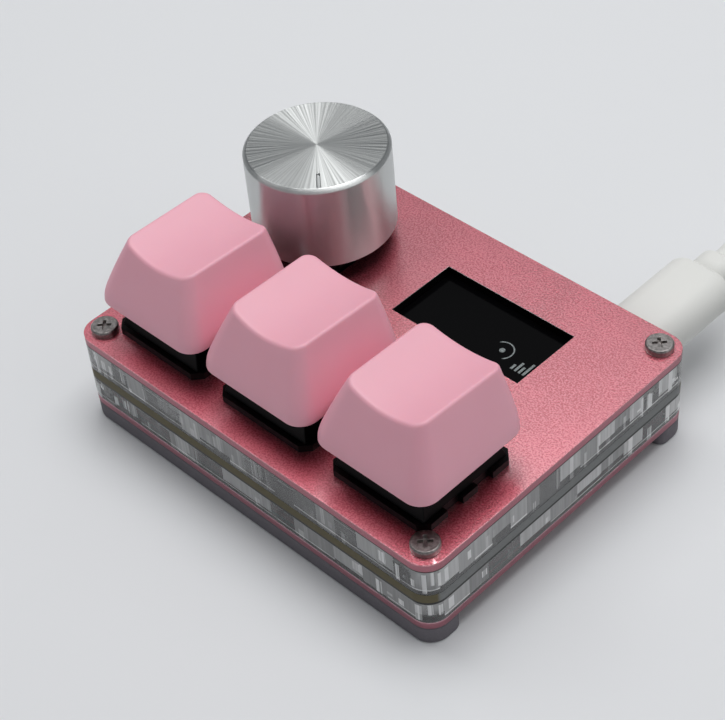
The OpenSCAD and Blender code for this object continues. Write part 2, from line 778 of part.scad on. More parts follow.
// Solder pins, bent down from the encoder's front and back into the board
module encoder_pins() {
    board_z = z_upper - z_deck;
    for (p = encoder_pin_places()) {
        side = p[1] < 0 ? -1 : 1;
        reach = abs(p[1]) - enc_d / 2;
        color("silver") at_encoder() translate([p[0], 0, board_z]) {
            translate([0, side * (enc_d / 2 + reach / 2 + enc_pin_t / 4), enc_floor - enc_pin_t])
                box(enc_pin_w, reach + enc_pin_t / 2, enc_pin_t);
            translate([0, p[1], -board_t - enc_pin_l])
                box(enc_pin_w, enc_pin_t, board_t + enc_pin_l + enc_floor);
        }
    }
}

// Round bar with one flat, standing on its own zero
module flatted(d, flat, h) {
    linear_extrude(h) intersection() {
        circle(d = d);
        translate([-d, flat - 2 * d]) square([2 * d, 2 * d]);
    }
}

module encoder_rotor() {
    color("goldenrod") at_encoder() translate([0, 0, -rotor_drop]) difference() {
        cylinder(d = rotor_d, h = rotor_t);
        translate([0, 0, -over]) flatted(neck_d + 2 * fit_gap, neck_flat + fit_gap, rotor_t + 2 * over);
    }
}

// Height of the shaft's tip above the dome's seat
function shaft_foot() = z_upper - z_deck + enc_floor + dome_h + dome_gap;

// Shaft: flatted neck in the rotor, a collar that stops under the lid, flatted again in the knob
module encoder_shaft() {
    top = enc_rise + enc_lid_t + shaft_l;
    flat_z = enc_rise + enc_lid_t + bush_l + knob_travel;
    collar_z = enc_rise - collar_t - fit_gap;
    color("silver") at_encoder() {
        translate([0, 0, shaft_foot()]) flatted(neck_d, neck_flat, collar_z - shaft_foot() + fit_gap);
        translate([0, 0, collar_z]) cylinder(d = collar_d, h = collar_t);
        translate([0, 0, collar_z]) cylinder(d = shaft_d, h = flat_z - collar_z);
        translate([0, 0, flat_z - fit_gap]) flatted(shaft_d, shaft_flat, top - flat_z + fit_gap);
    }
}

module encoder_dome() {
    r = dome_d / 2;
    color("silver") at_encoder() translate([0, 0, z_upper - z_deck + enc_floor]) rotate_extrude()
        polygon([[0, 0], [r, 0], [r * 0.8, dome_h * 0.6], [r * 0.4, dome_h], [0, dome_h]]);
}

// Turned aluminium cup with bevelled edges and a short index mark cut in its top
module knob_shell() {
    r = knob_d / 2;
    color("gainsboro") at_encoder() translate([0, 0, knob_lift]) difference() {
        rotate_extrude($fn = 128) polygon([[0, knob_h - knob_crown], [r - knob_wall, knob_h - knob_crown],
            [r - knob_wall, 0], [r - knob_foot_bevel, 0], [r, knob_foot_bevel], [r, knob_h - knob_bevel],
            [r - knob_bevel, knob_h], [0, knob_h]]);
        rotate(index_turn) translate([0, 0, knob_h - index_depth]) linear_extrude(index_depth + over)
            translate([(index_start + index_end) / 2, 0]) stadium(index_end - index_start, index_w);
    }
}

// Plastic core pressed into the knob, with the flatted bore and a recess for the bushing
module knob_core() {
    h = knob_h - knob_crown - core_inset - fit_gap;
    recess_h = enc_rise + enc_lid_t + bush_l + knob_travel + 2 * fit_gap - knob_lift - core_inset;
    color("dimgray") at_encoder() translate([0, 0, knob_lift + core_inset]) difference() {
        cylinder(d = knob_d - 2 * knob_wall - fit_gap, h = h);
        translate([0, 0, -over]) cylinder(d = core_recess_d, h = recess_h + over);
        translate([0, 0, recess_h - over]) flatted(shaft_d + fit_gap, shaft_flat + fit_gap / 2,
            enc_rise + enc_lid_t + shaft_l + 4 * fit_gap - knob_lift - core_inset - recess_h + over);
    }
}

// Moulded grip: flat sides with half-round edges, and a bevel where it narrows at the cable's end
module plug_grip() {
    taper_l = plug_t / 5;
    color("white") difference() {
        union() {
            stadium_bar(plug_w, plug_t, plug_y0, plug_y1 - taper_l, usb_x, usb_z);
            stadium_bar(plug_w - taper_l, plug_t - taper_l, plug_y1 - 2 * taper_l, plug_y1, usb_x, usb_z);
        }
        translate([0, plug_y0 - over, 0]) stadium_bar(plug_shell_w + fit_gap, plug_shell_t + fit_gap,
            0, over + plug_l / 4, usb_x, usb_z);
    }
}

// Metal shell of the plug, in the socket, with the slot that takes the tongue
module plug_shell() {
    tip = plug_y0 - plug_shell_l;
    color("silver") difference() {
        stadium_bar(plug_shell_w, plug_shell_t, tip, plug_y0 + plug_l / 4, usb_x, usb_z);
        translate([usb_x, tip + plug_slot_l / 2 - over / 2, usb_z - plug_slot_t / 2])
            box(plug_slot_w, plug_slot_l + over, plug_slot_t);
    }
}

// Strain relief: an oval collar, then a round sleeve that tapers to the cable
module plug_relief() {
    sleeve_l = relief_l / 3;
    color("white") {
        stadium_bar(relief_w, relief_end_d, plug_y1, relief_y1 - sleeve_l + fit_gap, usb_x, usb_z);
        translate([usb_x, relief_y1, usb_z]) rotate([90, 0, 0])
            cylinder(d1 = cord_d + 2 * free_gap, d2 = relief_end_d, h = sleeve_l);
    }
}

module cable_run() {
    color("white") tube(
        concat([[usb_x, relief_y1, usb_z]], run_points, [[coil_x - coil_out_r, coil_y, coil_z]]),
        cord_d / 2, cord_sides, [0, 1, 0], [0, 1, 0]);
}

// Route of the coil: it spirals in on the floor, climbs a layer while it turns back, and spirals out
function coil_at(s) = let (
        half = coil_turns / 2,
        a = 180 - 360 * s,
        r = coil_out_r - coil_pitch * (half - abs(s - half)),
        climb = min(max((s - half) / climb_turns + 1 / 2, 0), 1))
    [coil_x + r * cos(a), coil_y + r * sin(a), coil_z + coil_pitch * (3 - 2 * climb) * climb * climb];
coil_route = [for (k = [0 : coil_turns * loop_steps]) coil_at(k / loop_steps)];

// Least gap between turns: centre distances of points at least half a turn apart, less the cable
coil_gap = min([for (i = [0 : len(coil_route) - 1], j = [i + loop_steps / 2 : len(coil_route) - 1])
    norm(coil_route[i] - coil_route[j])]) - cord_d;
echo(least_gap_between_turns = coil_gap);

module cable_coil() {
    color("white") tube(coil_route, cord_d / 2, loop_sides, [0, 1, 0], [0, -1, 0]);
}

// Flat tie round all the turns, at the back of the coil
module cable_tie() {
    reach = tie_w / 2;
    inside = sqrt(pow(coil_out_r - coil_pitch * coil_turns / 2 - cord_d / 2, 2) - pow(reach, 2)) - free_gap;
    outside = coil_out_r - coil_pitch / 4 + cord_d / 2 + free_gap;
    height = coil_pitch + cord_d + 2 * free_gap;
    color("dimgray") translate([coil_x - reach, coil_y, 0]) rotate([90, 0, 90]) linear_extrude(tie_w)
        translate([(inside + outside) / 2, coil_z + coil_pitch / 2]) difference() {
            rounded(outside - inside + 2 * tie_t, height + 2 * tie_t, 2 * tie_t);
            rounded(outside - inside, height, tie_t);
        }
}

module cable_tail() {
    top = coil_z + coil_pitch;
    color("white") tube(
        concat([[coil_x + coil_out_r, coil_y, top]], tail_points,
            [[coil_x + coil_out_r, tail_end_y, far_t / 2]]),
        cord_d / 2, cord_sides, [0, -1, 0], [0, -1, 0]);
}

module far_relief() {
    color("white") translate([coil_x + coil_out_r, tail_end_y, far_t / 2]) rotate([90, 0, 0])
        cylinder(d1 = cord_d + 2 * free_gap, d2 = far_t * 0.85, h = far_relief_l);
}

module far_grip() {
    y1 = tail_end_y - far_relief_l;
    color("white") difference() {
        translate([coil_x + coil_out_r, y1, far_t / 2]) rotate([90, 0, 0])
            linear_extrude(far_l) rounded(far_w, far_t, far_round);
        translate([coil_x + coil_out_r, y1 - far_l * 3 / 4, far_t / 2]) rotate([90, 0, 0])
            linear_extrude(far_l) square([far_shell_w + fit_gap, far_shell_t + fit_gap], center = true);
    }
}

// Metal shell of the far plug, open at its mouth, with the insulator in its upper half
module far_shell() {
    y1 = tail_end_y - far_relief_l - far_l * 3 / 4;
    length = far_l / 4 + far_shell_l;
    color("silver") translate([coil_x + coil_out_r, y1, far_t / 2]) rotate([90, 0, 0]) difference() {
        linear_extrude(length) square([far_shell_w, far_shell_t], center = true);
        translate([0, -far_shell_t / 4, length - far_shell_l + far_wall]) linear_extrude(far_shell_l)
            square([far_shell_w - 2 * far_wall, far_shell_t / 2 - far_wall * 2], center = true);
    }
}

top_plate();
upper_frame();
main_board();
lower_frame();
bottom_plate();
foot(-1);  // front_foot
foot(1);  // rear_foot
corner_screws();
display_glass();
display_pad();
display_flex();
usb_socket_shell();
usb_socket_tongue();
controller_chip();
board_parts();
for (i = [0 : 2]) {
    switch_base(i);
    switch_cover(i);
    switch_stem(i);
    switch_spring(i);
    switch_contacts(i);
    keycap(i);
}
encoder_base();
encoder_cover();
encoder_pins();
encoder_rotor();
encoder_shaft();
encoder_dome();
knob_shell();
knob_core();
plug_grip();
plug_shell();
plug_relief();
cable_run();
cable_coil();
cable_tie();
cable_tail();
far_grip();
far_shell();
far_relief();
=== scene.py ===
"""A small desk keypad: three pink keys, an aluminium knob and a display window on a pink plate."""

import json
from math import atan2, cos, pi, radians, sin

import bmesh
import bpy
import numpy as np
from mathutils import Matrix, Vector

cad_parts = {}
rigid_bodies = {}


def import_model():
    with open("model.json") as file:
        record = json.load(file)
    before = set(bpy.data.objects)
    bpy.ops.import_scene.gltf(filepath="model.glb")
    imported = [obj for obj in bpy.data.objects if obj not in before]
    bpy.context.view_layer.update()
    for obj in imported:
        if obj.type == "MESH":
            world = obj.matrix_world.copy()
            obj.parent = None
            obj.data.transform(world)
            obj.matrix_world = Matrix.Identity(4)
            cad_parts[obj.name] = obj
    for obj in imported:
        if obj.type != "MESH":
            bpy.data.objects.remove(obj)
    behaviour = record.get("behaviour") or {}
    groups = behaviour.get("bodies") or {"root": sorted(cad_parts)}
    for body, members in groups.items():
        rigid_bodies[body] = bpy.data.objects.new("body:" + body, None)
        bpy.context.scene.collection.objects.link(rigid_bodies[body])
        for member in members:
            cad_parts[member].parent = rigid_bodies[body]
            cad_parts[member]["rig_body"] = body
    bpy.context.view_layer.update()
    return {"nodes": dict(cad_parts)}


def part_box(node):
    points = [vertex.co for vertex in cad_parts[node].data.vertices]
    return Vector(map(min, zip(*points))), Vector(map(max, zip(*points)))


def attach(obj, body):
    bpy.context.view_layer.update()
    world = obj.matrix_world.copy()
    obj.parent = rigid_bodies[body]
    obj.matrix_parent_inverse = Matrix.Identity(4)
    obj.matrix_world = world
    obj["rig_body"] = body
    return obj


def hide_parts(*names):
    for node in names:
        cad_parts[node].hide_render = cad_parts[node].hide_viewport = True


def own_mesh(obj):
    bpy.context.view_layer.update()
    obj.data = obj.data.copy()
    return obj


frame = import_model()
mm = 0.001

# Camera, set to the photograph: it looks down from the front right with a slight roll.
# The lens and the image's middle are given in pixels of the 725 x 720 frame.
FRAME_W_PX, FRAME_H_PX = 725, 720
LENS_PX = 1904.25
MIDDLE_PX = (338.72, 364.74)
SENSOR_W = 36.0
NEAREST_SEEN = 5 * mm
AZIMUTH, ELEVATION, ROLL = radians(49.27), radians(43.48), radians(-6.558)
CAMERA_DISTANCE = 235.0 * mm
CAMERA_TARGET = Vector((-0.27, -6.40, 13.90)) * mm


def camera_at(target, azimuth, elevation, roll, distance):
    """Camera on a sphere round the target, its picture turned by the roll about the line of sight."""
    back = Vector((sin(azimuth) * cos(elevation), -cos(azimuth) * cos(elevation), sin(elevation)))
    right = (-back).cross(Vector((0, 0, 1))).normalized()
    up = right.cross(-back)
    turned_right = cos(roll) * right + sin(roll) * up
    turned_up = cos(roll) * up - sin(roll) * right
    place = Matrix((turned_right, turned_up, back)).transposed().to_4x4()
    place.translation = target + distance * back
    return place


camera_data = bpy.data.cameras.new("camera")
camera_data.sensor_width = SENSOR_W
camera_data.lens = LENS_PX * SENSOR_W / FRAME_W_PX
camera_data.shift_x = (FRAME_W_PX / 2 - MIDDLE_PX[0]) / FRAME_W_PX
camera_data.shift_y = (MIDDLE_PX[1] - FRAME_H_PX / 2) / FRAME_W_PX
camera_data.clip_start = NEAREST_SEEN
camera = bpy.data.objects.new("camera", camera_data)
camera.matrix_world = camera_at(CAMERA_TARGET, AZIMUTH, ELEVATION, ROLL, CAMERA_DISTANCE)
bpy.context.scene.collection.objects.link(camera)
bpy.context.scene.camera = camera

# Lead: one white cable from the keypad's plug to the far plug, with the unseen length wound into a
# flat coil of two layers behind the keypad. Its points, in millimetres, and the sizes of its coil
# repeat the construction's.
CORD_R = 1.9 * mm
CORD_SIDES = 20
CHORD_STEPS = 3
COIL_TURNS = 6.5
COIL_STEPS = 48
COIL_CENTRE = (49.1 * mm, 64 * mm)
COIL_PITCH = 4.3 * mm
COIL_MEAN_R = 21.6 * mm
COIL_OUT_R = COIL_MEAN_R + COIL_PITCH * COIL_TURNS / 4
COIL_CLIMB_TURNS = 0.5
COIL_Z = 2.65 * mm
RUN_POINTS = [
    (21.8, 42.0, 9.5), (21.65, 44.8, 9.5), (21.2, 47.6, 8.9), (20.7, 50.4, 7.5), (20.4, 53.2, 5.8),
    (20.3, 56.2, 4.2), (20.4, 59.4, 3.1),
]
TAIL_POINTS = [
    (77.7, 56.5, 6.7), (77.7, 53.0, 6.1), (77.7, 49.5, 5.3), (77.7, 46.0, 4.6), (77.7, 42.8, 4.1),
    (77.69, 36.0, 3.9),
]
SAME_POINT = 1e-7
FLAT_WITHIN = radians(0.2)
SHARP_FROM = radians(35)
FACE_WEIGHT = 100


def coil_route(turns, steps):
    """Winds in from the left by one pitch a turn, climbs a layer while it reverses, and winds out."""
    s = np.linspace(0, turns, int(turns * steps) + 1)
    half = turns / 2
    angle = pi - 2 * pi * s
    radius = COIL_OUT_R - COIL_PITCH * (half - np.abs(s - half))
    climb = np.clip((s - half) / COIL_CLIMB_TURNS + 0.5, 0, 1)
    height = COIL_Z + COIL_PITCH * (3 - 2 * climb) * climb ** 2
    return np.stack([COIL_CENTRE[0] + radius * np.cos(angle),
                     COIL_CENTRE[1] + radius * np.sin(angle), height], axis=1)


def eased_route(points, steps):
    """Smooth curve through given points: each stretch is a cubic whose ends share the chords."""
    p = np.asarray(points, float)
    slopes = np.gradient(p, axis=0)
    t = np.linspace(0, 1, steps, endpoint=False)[None, :, None]
    a, b = p[:-1, None], p[1:, None]
    sa, sb = slopes[:-1, None], slopes[1:, None]
    body = (2 * t ** 3 - 3 * t ** 2 + 1) * a + (t ** 3 - 2 * t ** 2 + t) * sa
    body = body + (3 * t ** 2 - 2 * t ** 3) * b + (t ** 3 - t ** 2) * sb
    return np.concatenate([body.reshape(-1, 3), p[-1:]])


def skin(name, rings, poles=(False, False)):
    """Mesh over a grid of points: rings[i, k] is point k of ring i, and the rings close on themselves.
    An end ring may shrink to its mean point, its pole, and otherwise the end stays open."""
    rings = np.asarray(rings, float)
    count, around = rings.shape[:2]
    k = np.arange(around)
    i = np.arange(count - 1)[:, None]
    after = (k + 1) % around
    quads = np.stack([i * around + k, i * around + after, (i + 1) * around + after,
                      (i + 1) * around + k], axis=-1).reshape(-1, 4)
    points = rings.reshape(-1, 3)
    faces = [tuple(q) for q in quads.tolist()]
    for end, wanted in zip((0, count - 1), poles):
        if wanted:
            points = np.vstack([points, rings[end].mean(axis=0)])
            tip = len(points) - 1
            ends = np.stack([end * around + after, end * around + k], axis=-1)
            ends = ends if end == 0 else ends[:, ::-1]
            faces += [(tip, a, b) for a, b in ends.tolist()]
    mesh = bpy.data.meshes.new(name)
    mesh.from_pydata(points, [], faces)
    form = bmesh.new()
    form.from_mesh(mesh)
    bmesh.ops.remove_doubles(form, verts=form.verts, dist=SAME_POINT)
    bmesh.ops.recalc_face_normals(form, faces=form.faces)
    form.to_mesh(mesh)
    form.free()
    mesh.shade_smooth()
    piece = bpy.data.objects.new(name, mesh)
    bpy.context.scene.collection.objects.link(piece)
    return piece


def along(path, radius, sides):
    """Rings of a round tube: each is square to the path, with one side kept level."""
    heading = np.gradient(path, axis=0)
    heading /= np.linalg.norm(heading, axis=1, keepdims=True)
    level = np.cross(heading, (0, 0, 1))
    level /= np.linalg.norm(level, axis=1, keepdims=True)
    upper = np.cross(level, heading)
    angle = np.linspace(0, 2 * pi, sides, endpoint=False)[None, :, None]
    spoke = np.cos(angle) * level[:, None] + np.sin(angle) * upper[:, None]
    return path[:, None] + radius * spoke


def screen(red, green, blue):
    """A colour as it shows on screen, 0 to 255, turned into the light values that shaders take."""
    shown = np.array([red, green, blue]) / 255
    light = np.where(shown <= 0.04045, shown / 12.92, ((shown + 0.055) / 1.055) ** 2.4)
    return (*light.tolist(), 1.0)


def socket_name(word):
    """A shader's socket as Blender writes it, such as IOR or Base Color, from a plain word."""
    return word.replace("_", " ").title().replace("Ior", "IOR")


class Value:
    """One socket in a shader. Python's operators on it add the Math nodes of the expression."""

    def __init__(self, finish, socket):
        self.finish, self.socket = finish, socket

    def math(self, operation, *terms):
        """A Math node over its terms, each of them a Value or a plain number."""
        return self.finish.node("ShaderNodeMath", {"operation": operation}, dict(enumerate(terms)))

    def __add__(self, other):
        return self.math("ADD", self, other)

    def __sub__(self, other):
        return self.math("SUBTRACT", self, other)

    def __rsub__(self, other):
        return self.math("SUBTRACT", other, self)

    def __mul__(self, other):
        return self.math("MULTIPLY", self, other)

    def __truediv__(self, other):
        return self.math("DIVIDE", self, other)

    def __abs__(self):
        return self.math("ABSOLUTE", self)

    __radd__ = __add__
    __rmul__ = __mul__

    def fade(self, low, high):
        """0 below low, 1 above high and a smooth rise between them, or a fall if low is the larger."""
        first, last = (0.0, 1.0) if low < high else (1.0, 0.0)
        return self.finish.node(
            "ShaderNodeMapRange", {"interpolation_type": "SMOOTHSTEP"},
            {"Value": self, "From Min": min(low, high), "From Max": max(low, high),
             "To Min": first, "To Max": last})

    def within(self, low, high, soft):
        """1 from low to high, and 0 past a soft border on each side."""
        return self.fade(low - soft, low) * self.fade(high + soft, high)

    def wave(self, pitch):
        """Sine, from -1 to 1, that comes round again after each pitch."""
        return self.math("SINE", self * (2 * pi / pitch))

    def reach(self, other):
        """Length of the slope over two values at right angles, the root of the sum of their squares."""
        return self.math("SQRT", self * self + other * other)


class Finish:
    """A material round one Principled shader, whose constants are set on its own sockets. A pattern
    that is fed to a socket takes the place of its constant."""

    def __init__(self, name, colour, **constants):
        self.material = bpy.data.materials.new(name)
        self.material.use_nodes = True
        self.shader = self.material.node_tree.nodes["Principled BSDF"]
        self.shader.inputs["Base Color"].default_value = colour
        for word, value in constants.items():
            self.shader.inputs[socket_name(word)].default_value = value

    def node(self, kind, settings, values, output=0):
        """Adds a node, gives it its settings and the values or links of its sockets."""
        made = self.material.node_tree.nodes.new(kind)
        for name, setting in settings.items():
            setattr(made, name, setting)
        for socket, value in values.items():
            if isinstance(value, Value):
                self.material.node_tree.links.new(value.socket, made.inputs[socket])
            else:
                made.inputs[socket].default_value = value
        return Value(self, made.outputs[output])

    def feed(self, socket, value):
        """Links a value to one of the shader's sockets."""
        self.material.node_tree.links.new(value.socket, self.shader.inputs[socket])

    def overlay(self, share, colour, **constants):
        """A second Principled shader that shows over the first by a share from 0 to 1."""
        sockets = {socket_name(word): value for word, value in constants.items()}
        over = self.node("ShaderNodeBsdfPrincipled", {}, {"Base Color": colour, **sockets})
        under = Value(self, self.shader.outputs[0])
        both = self.node("ShaderNodeMixShader", {}, {0: share, 1: under, 2: over})
        output = self.material.node_tree.nodes["Material Output"]
        self.material.node_tree.links.new(both.socket, output.inputs["Surface"])

    def place(self):
        """Position on the object, in metres."""
        return self.node("ShaderNodeTexCoord", {}, {}, "Object")

    def axes(self):
        """The three parts of that position."""
        split = self.node("ShaderNodeSeparateXYZ", {}, {0: self.place()})
        return [Value(self, out) for out in split.socket.node.outputs]

    def noise(self, size, detail=2.0, stretch=(1, 1, 1), roughness=0.5):
        """Cloudy noise from 0 to 1 with grains of about that size, stretched along the axes."""
        scaled = self.node("ShaderNodeVectorMath", {"operation": "MULTIPLY"},
                           {0: self.place(), 1: tuple(1 / (size * s) for s in stretch)})
        return self.node("ShaderNodeTexNoise", {},
                         {"Vector": scaled, "Scale": 1.0, "Detail": detail, "Roughness": roughness})

    def grain(self, size, smoothest, spread, depth=0, **look):
        """Noise that the surface follows: its roughness is the smoothest value plus the noise times the
        spread, and the noise lifts it by up to the depth. Gives the noise back."""
        cloud = self.noise(size, **look)
        self.feed("Roughness", smoothest + spread * cloud)
        if depth:
            self.bump(cloud, depth)
        return cloud

    def cells(self, distance, size, start):
        """Stripes of uneven widths about that size, each with three chance values from 0 to 1. The
        start is the place in an endless row of such stripes."""
        colour = self.node("ShaderNodeTexVoronoi", {"voronoi_dimensions": "1D"},
                           {"W": distance / size + start, "Scale": 1.0}, "Color")
        split = self.node("ShaderNodeSeparateColor", {}, {0: colour})
        return [Value(self, out) for out in split.socket.node.outputs]

    def mix(self, share, first, second):
        """Colour between two, by a share from 0 to 1."""
        return self.node("ShaderNodeMix", {"data_type": "RGBA"}, {0: share, 6: first, 7: second}, 2)

    def bump(self, height, depth):
        """Lifts the surface by height, 0 to 1, times depth, in the shading only."""
        self.feed("Normal", self.node("ShaderNodeBump", {}, {"Height": height, "Distance": depth}))


def dress(piece, finish, body, slot, *nodes):
    """Puts a finish on a made piece, which rides on a body and stands for its CAD nodes."""
    piece.data.materials.clear()
    piece.data.materials.append(finish.material)
    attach(piece, body)
    if nodes:
        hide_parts(*nodes)
    return piece


def eased(node, finish, slot, width, segments=2):
    """A merged copy of a CAD node with its flat faces joined and its sharp edges broken to a width."""
    mesh = frame["nodes"][node].data.copy()
    form = bmesh.new()
    form.from_mesh(mesh)
    bmesh.ops.remove_doubles(form, verts=form.verts, dist=SAME_POINT)
    bmesh.ops.dissolve_limit(form, angle_limit=FLAT_WITHIN, verts=form.verts, edges=form.edges)
    form.to_mesh(mesh)
    form.free()
    mesh.shade_smooth()
    piece = bpy.data.objects.new(node + "_finished", mesh)
    bpy.context.scene.collection.objects.link(piece)
    edge = piece.modifiers.new("edge", "BEVEL")
    edge.width = width
    edge.segments = segments
    edge.limit_method = "ANGLE"
    edge.angle_limit = SHARP_FROM
    flat = piece.modifiers.new("flat", "WEIGHTED_NORMAL")
    flat.weight = FACE_WEIGHT
    return dress(piece, finish, frame["nodes"][node]["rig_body"], slot, node)


lead_white = Finish("soft white moulding", screen(232, 232, 228), roughness=0.5, specular_ior_level=0.4)
lead_white.grain(size=0.25 * mm, smoothest=0.44, spread=0.14, depth=0.006 * mm, detail=3)

lead_points = [np.array(RUN_POINTS) * mm, coil_route(COIL_TURNS, COIL_STEPS), np.array(TAIL_POINTS) * mm]
lead_path = eased_route(np.concatenate(lead_points), CHORD_STEPS)
lead = skin("lead_cable", along(lead_path, CORD_R, CORD_SIDES), poles=(True, True))
dress(lead, lead_white, "base", "lead_white", "cable_run", "cable_coil", "cable_tail")

# Plug at the keypad: a soft white moulding of oval section, rounded over at its cable end, with the
# metal shell moulded in at its front. The relief behind it is a thick oval neck, rounded at its end.
GRIP_ROUND = 1.3 * mm
GRIP_FRONT_BREAK = 0.25 * mm
BAR_SIDES = 64
ROUND_STEPS = 8
TINY = 1e-9


def oval_bar(name, stations, centre):
    """Bar along Y. Each station gives its Y, width and height; a section is a slot with round ends."""
    angle = np.linspace(0, 2 * pi, BAR_SIDES, endpoint=False)
    side = np.sign(np.cos(angle)) * (np.abs(np.cos(angle)) > TINY)
    rings = []
    for y, width, height in stations:
        r = min(width, height) / 2
        x = r * np.cos(angle) + side * (width / 2 - r)
        z = r * np.sin(angle)
        rings.append(np.stack([centre[0] + x, np.full(BAR_SIDES, y), centre[1] + z], axis=1))
    return skin(name, rings, poles=(True, True))


def shoulder(y0, y1, width, height, radius):
    """Stations of a bar whose far end is rounded over by a quarter circle of that radius."""
    turn = np.linspace(0, pi / 2, ROUND_STEPS)
    inset = radius * (1 - np.cos(turn))
    reach = y1 - radius + radius * np.sin(turn)
    return [(y0, width, height)] + [(y, width - 2 * i, height - 2 * i) for y, i in zip(reach, inset)]


grip_low, grip_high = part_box("plug_grip")
socket_axis = ((grip_low.x + grip_high.x) / 2, (grip_low.z + grip_high.z) / 2)
grip_w = grip_high.x - grip_low.x
grip_t = grip_high.z - grip_low.z
grip_stations = [(grip_low.y, grip_w - 2 * GRIP_FRONT_BREAK, grip_t - 2 * GRIP_FRONT_BREAK)]
grip_stations += shoulder(grip_low.y + GRIP_FRONT_BREAK, grip_high.y, grip_w, grip_t, GRIP_ROUND)
grip = oval_bar("plug_grip_moulding", grip_stations, socket_axis)
dress(grip, lead_white, "base", "lead_white", "plug_grip")

relief_low, relief_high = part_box("plug_relief")
relief_w = relief_high.x - relief_low.x
relief_t = relief_high.z - relief_low.z
neck_stations = shoulder(relief_low.y - GRIP_ROUND / 2, relief_high.y, relief_w, relief_t,
                         relief_t / 2 - CORD_R)
relief = oval_bar("plug_relief_moulding", neck_stations, socket_axis)
dress(relief, lead_white, "base", "lead_white", "plug_relief")

# Far plug: a flat-sided moulding with a long tapering relief, and a shell of folded sheet with the
# construction's shape. The tie is a woven hook tape closed round all the turns.
FAR_BREAK = 0.9 * mm
FAR_STATIONS = 12
FAR_TAPER = 0.8
TAPE_RIB, TAPE_WEFT = 0.6 * mm, 0.45 * mm
far_grip = eased("far_grip", lead_white, "lead_white", FAR_BREAK, segments=4)
far_low, far_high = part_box("far_relief")
far_centre = ((far_low.x + far_high.x) / 2, (far_low.z + far_high.z) / 2)
far_wide = far_high.x - far_low.x
far_share = np.linspace(0, 1, FAR_STATIONS)
far_reach = far_low.y + far_share * (far_high.y - far_low.y)
far_across = far_wide + (2 * CORD_R - far_wide) * far_share ** FAR_TAPER
far_relief = oval_bar("far_relief_moulding", zip(far_reach, far_across, far_across), far_centre)
dress(far_relief, lead_white, "base", "lead_white", "far_relief")

nickel = Finish("nickel-plated sheet", screen(196, 194, 190), metallic=1.0, roughness=0.28)
nickel.grain(size=1.2 * mm, smoothest=0.22, spread=0.16, depth=0.01 * mm, detail=3)
for shell in ("plug_shell", "far_shell", "usb_socket_shell"):
    eased(shell, nickel, "plated_steel", width=0.06 * mm)

tape = Finish("woven hook tape", screen(46, 46, 48), roughness=0.9, sheen_weight=0.3)
tape_x, tape_y, tape_z = tape.axes()
weave = (tape_y + tape_z).wave(TAPE_RIB) * tape_x.wave(TAPE_WEFT) * 0.5 + 0.5
tape.bump(weave, depth=0.08 * mm)
tape.feed("Base Color", tape.mix(weave, screen(34, 34, 36), screen(62, 62, 64)))
tie = eased("cable_tie", tape, "tie_grey", width=0.12 * mm)

# Top and bottom plates: pink anodised aluminium sheet, bead-blasted before the dye so that it
# sparkles with a fine grain. The cut edges are duller than the faces. The display window's walls,
# and a hair's width of the face round them, are painted near-black as shade.
PLATE_BREAK = 0.12 * mm
BLAST_GRAIN, DYE_CLOUD = 0.24 * mm, 9 * mm
CLOUD_SHARE = 0.15
TONE_LOW, TONE_HIGH = 0.38, 0.62
BARE_LEAST, BARE_SPREAD = 0.02, 0.62
CUT_DULLING = 0.8
WINDOW_W, WINDOW_D, WINDOW_SIDE, WINDOW_BACK = 20.9 * mm, 10.7 * mm, 12.0 * mm, 7.9 * mm
WINDOW_SHADE_REACH, WINDOW_SHADE_FADE = 0.06 * mm, 0.05 * mm


def anodised(name, node, low, high, edge, depth):
    """Dyed aluminium whose colour runs between two tones with the grain of the blasting, and its cut
    edge's tone below. A share of each grain is bare and bright. Gives the finish and its colour."""
    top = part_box(node)[1].z
    dyed = Finish(name, high, metallic=1.0, roughness=0.45)
    level = dyed.axes()[2]
    cut = level.fade(top - PLATE_BREAK, top - 2 * PLATE_BREAK)
    blast = dyed.grain(size=BLAST_GRAIN, smoothest=0.32, spread=0.14, depth=depth, roughness=0.65)
    bare = (BARE_LEAST + BARE_SPREAD * blast) * (1 - CUT_DULLING * cut)
    dyed.overlay(bare, screen(248, 246, 247), metallic=1.0, roughness=0.26)
    tone = blast * (1 - CLOUD_SHARE) + dyed.noise(DYE_CLOUD) * CLOUD_SHARE
    face = dyed.mix(tone.fade(TONE_LOW, TONE_HIGH), low, high)
    return dyed, dyed.mix(cut, face, edge)


top_dye, top_tone = anodised("pink anodised top", "top_plate", low=screen(178, 42, 66),
                             high=screen(240, 92, 116), edge=screen(160, 88, 102), depth=0.07 * mm)
low_dye, low_tone = anodised("pink anodised bottom", "bottom_plate", low=screen(150, 70, 88),
                             high=screen(176, 96, 112), edge=screen(150, 84, 98), depth=0.03 * mm)
window_x, window_y = top_dye.axes()[:2]
deck_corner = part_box("top_plate")[1]
from_mid_x = window_x - (deck_corner.x - WINDOW_SIDE - WINDOW_W / 2)
from_mid_y = window_y - (deck_corner.y - WINDOW_BACK - WINDOW_D / 2)
# Painted shade: near-black over the window's walls and a hair's width of the face round them.
shade_reach_x, shade_reach_y = WINDOW_W / 2 + WINDOW_SHADE_REACH, WINDOW_D / 2 + WINDOW_SHADE_REACH
painted_window_shade = abs(from_mid_x).fade(shade_reach_x, shade_reach_x - WINDOW_SHADE_FADE) * abs(from_mid_y).fade(shade_reach_y, shade_reach_y - WINDOW_SHADE_FADE)
top_dye.feed("Base Color", top_dye.mix(painted_window_shade, top_tone, screen(6, 6, 6)))
low_dye.feed("Base Color", low_tone)
eased("top_plate", top_dye, "plate", PLATE_BREAK)
eased("bottom_plate", low_dye, "plate", PLATE_BREAK)

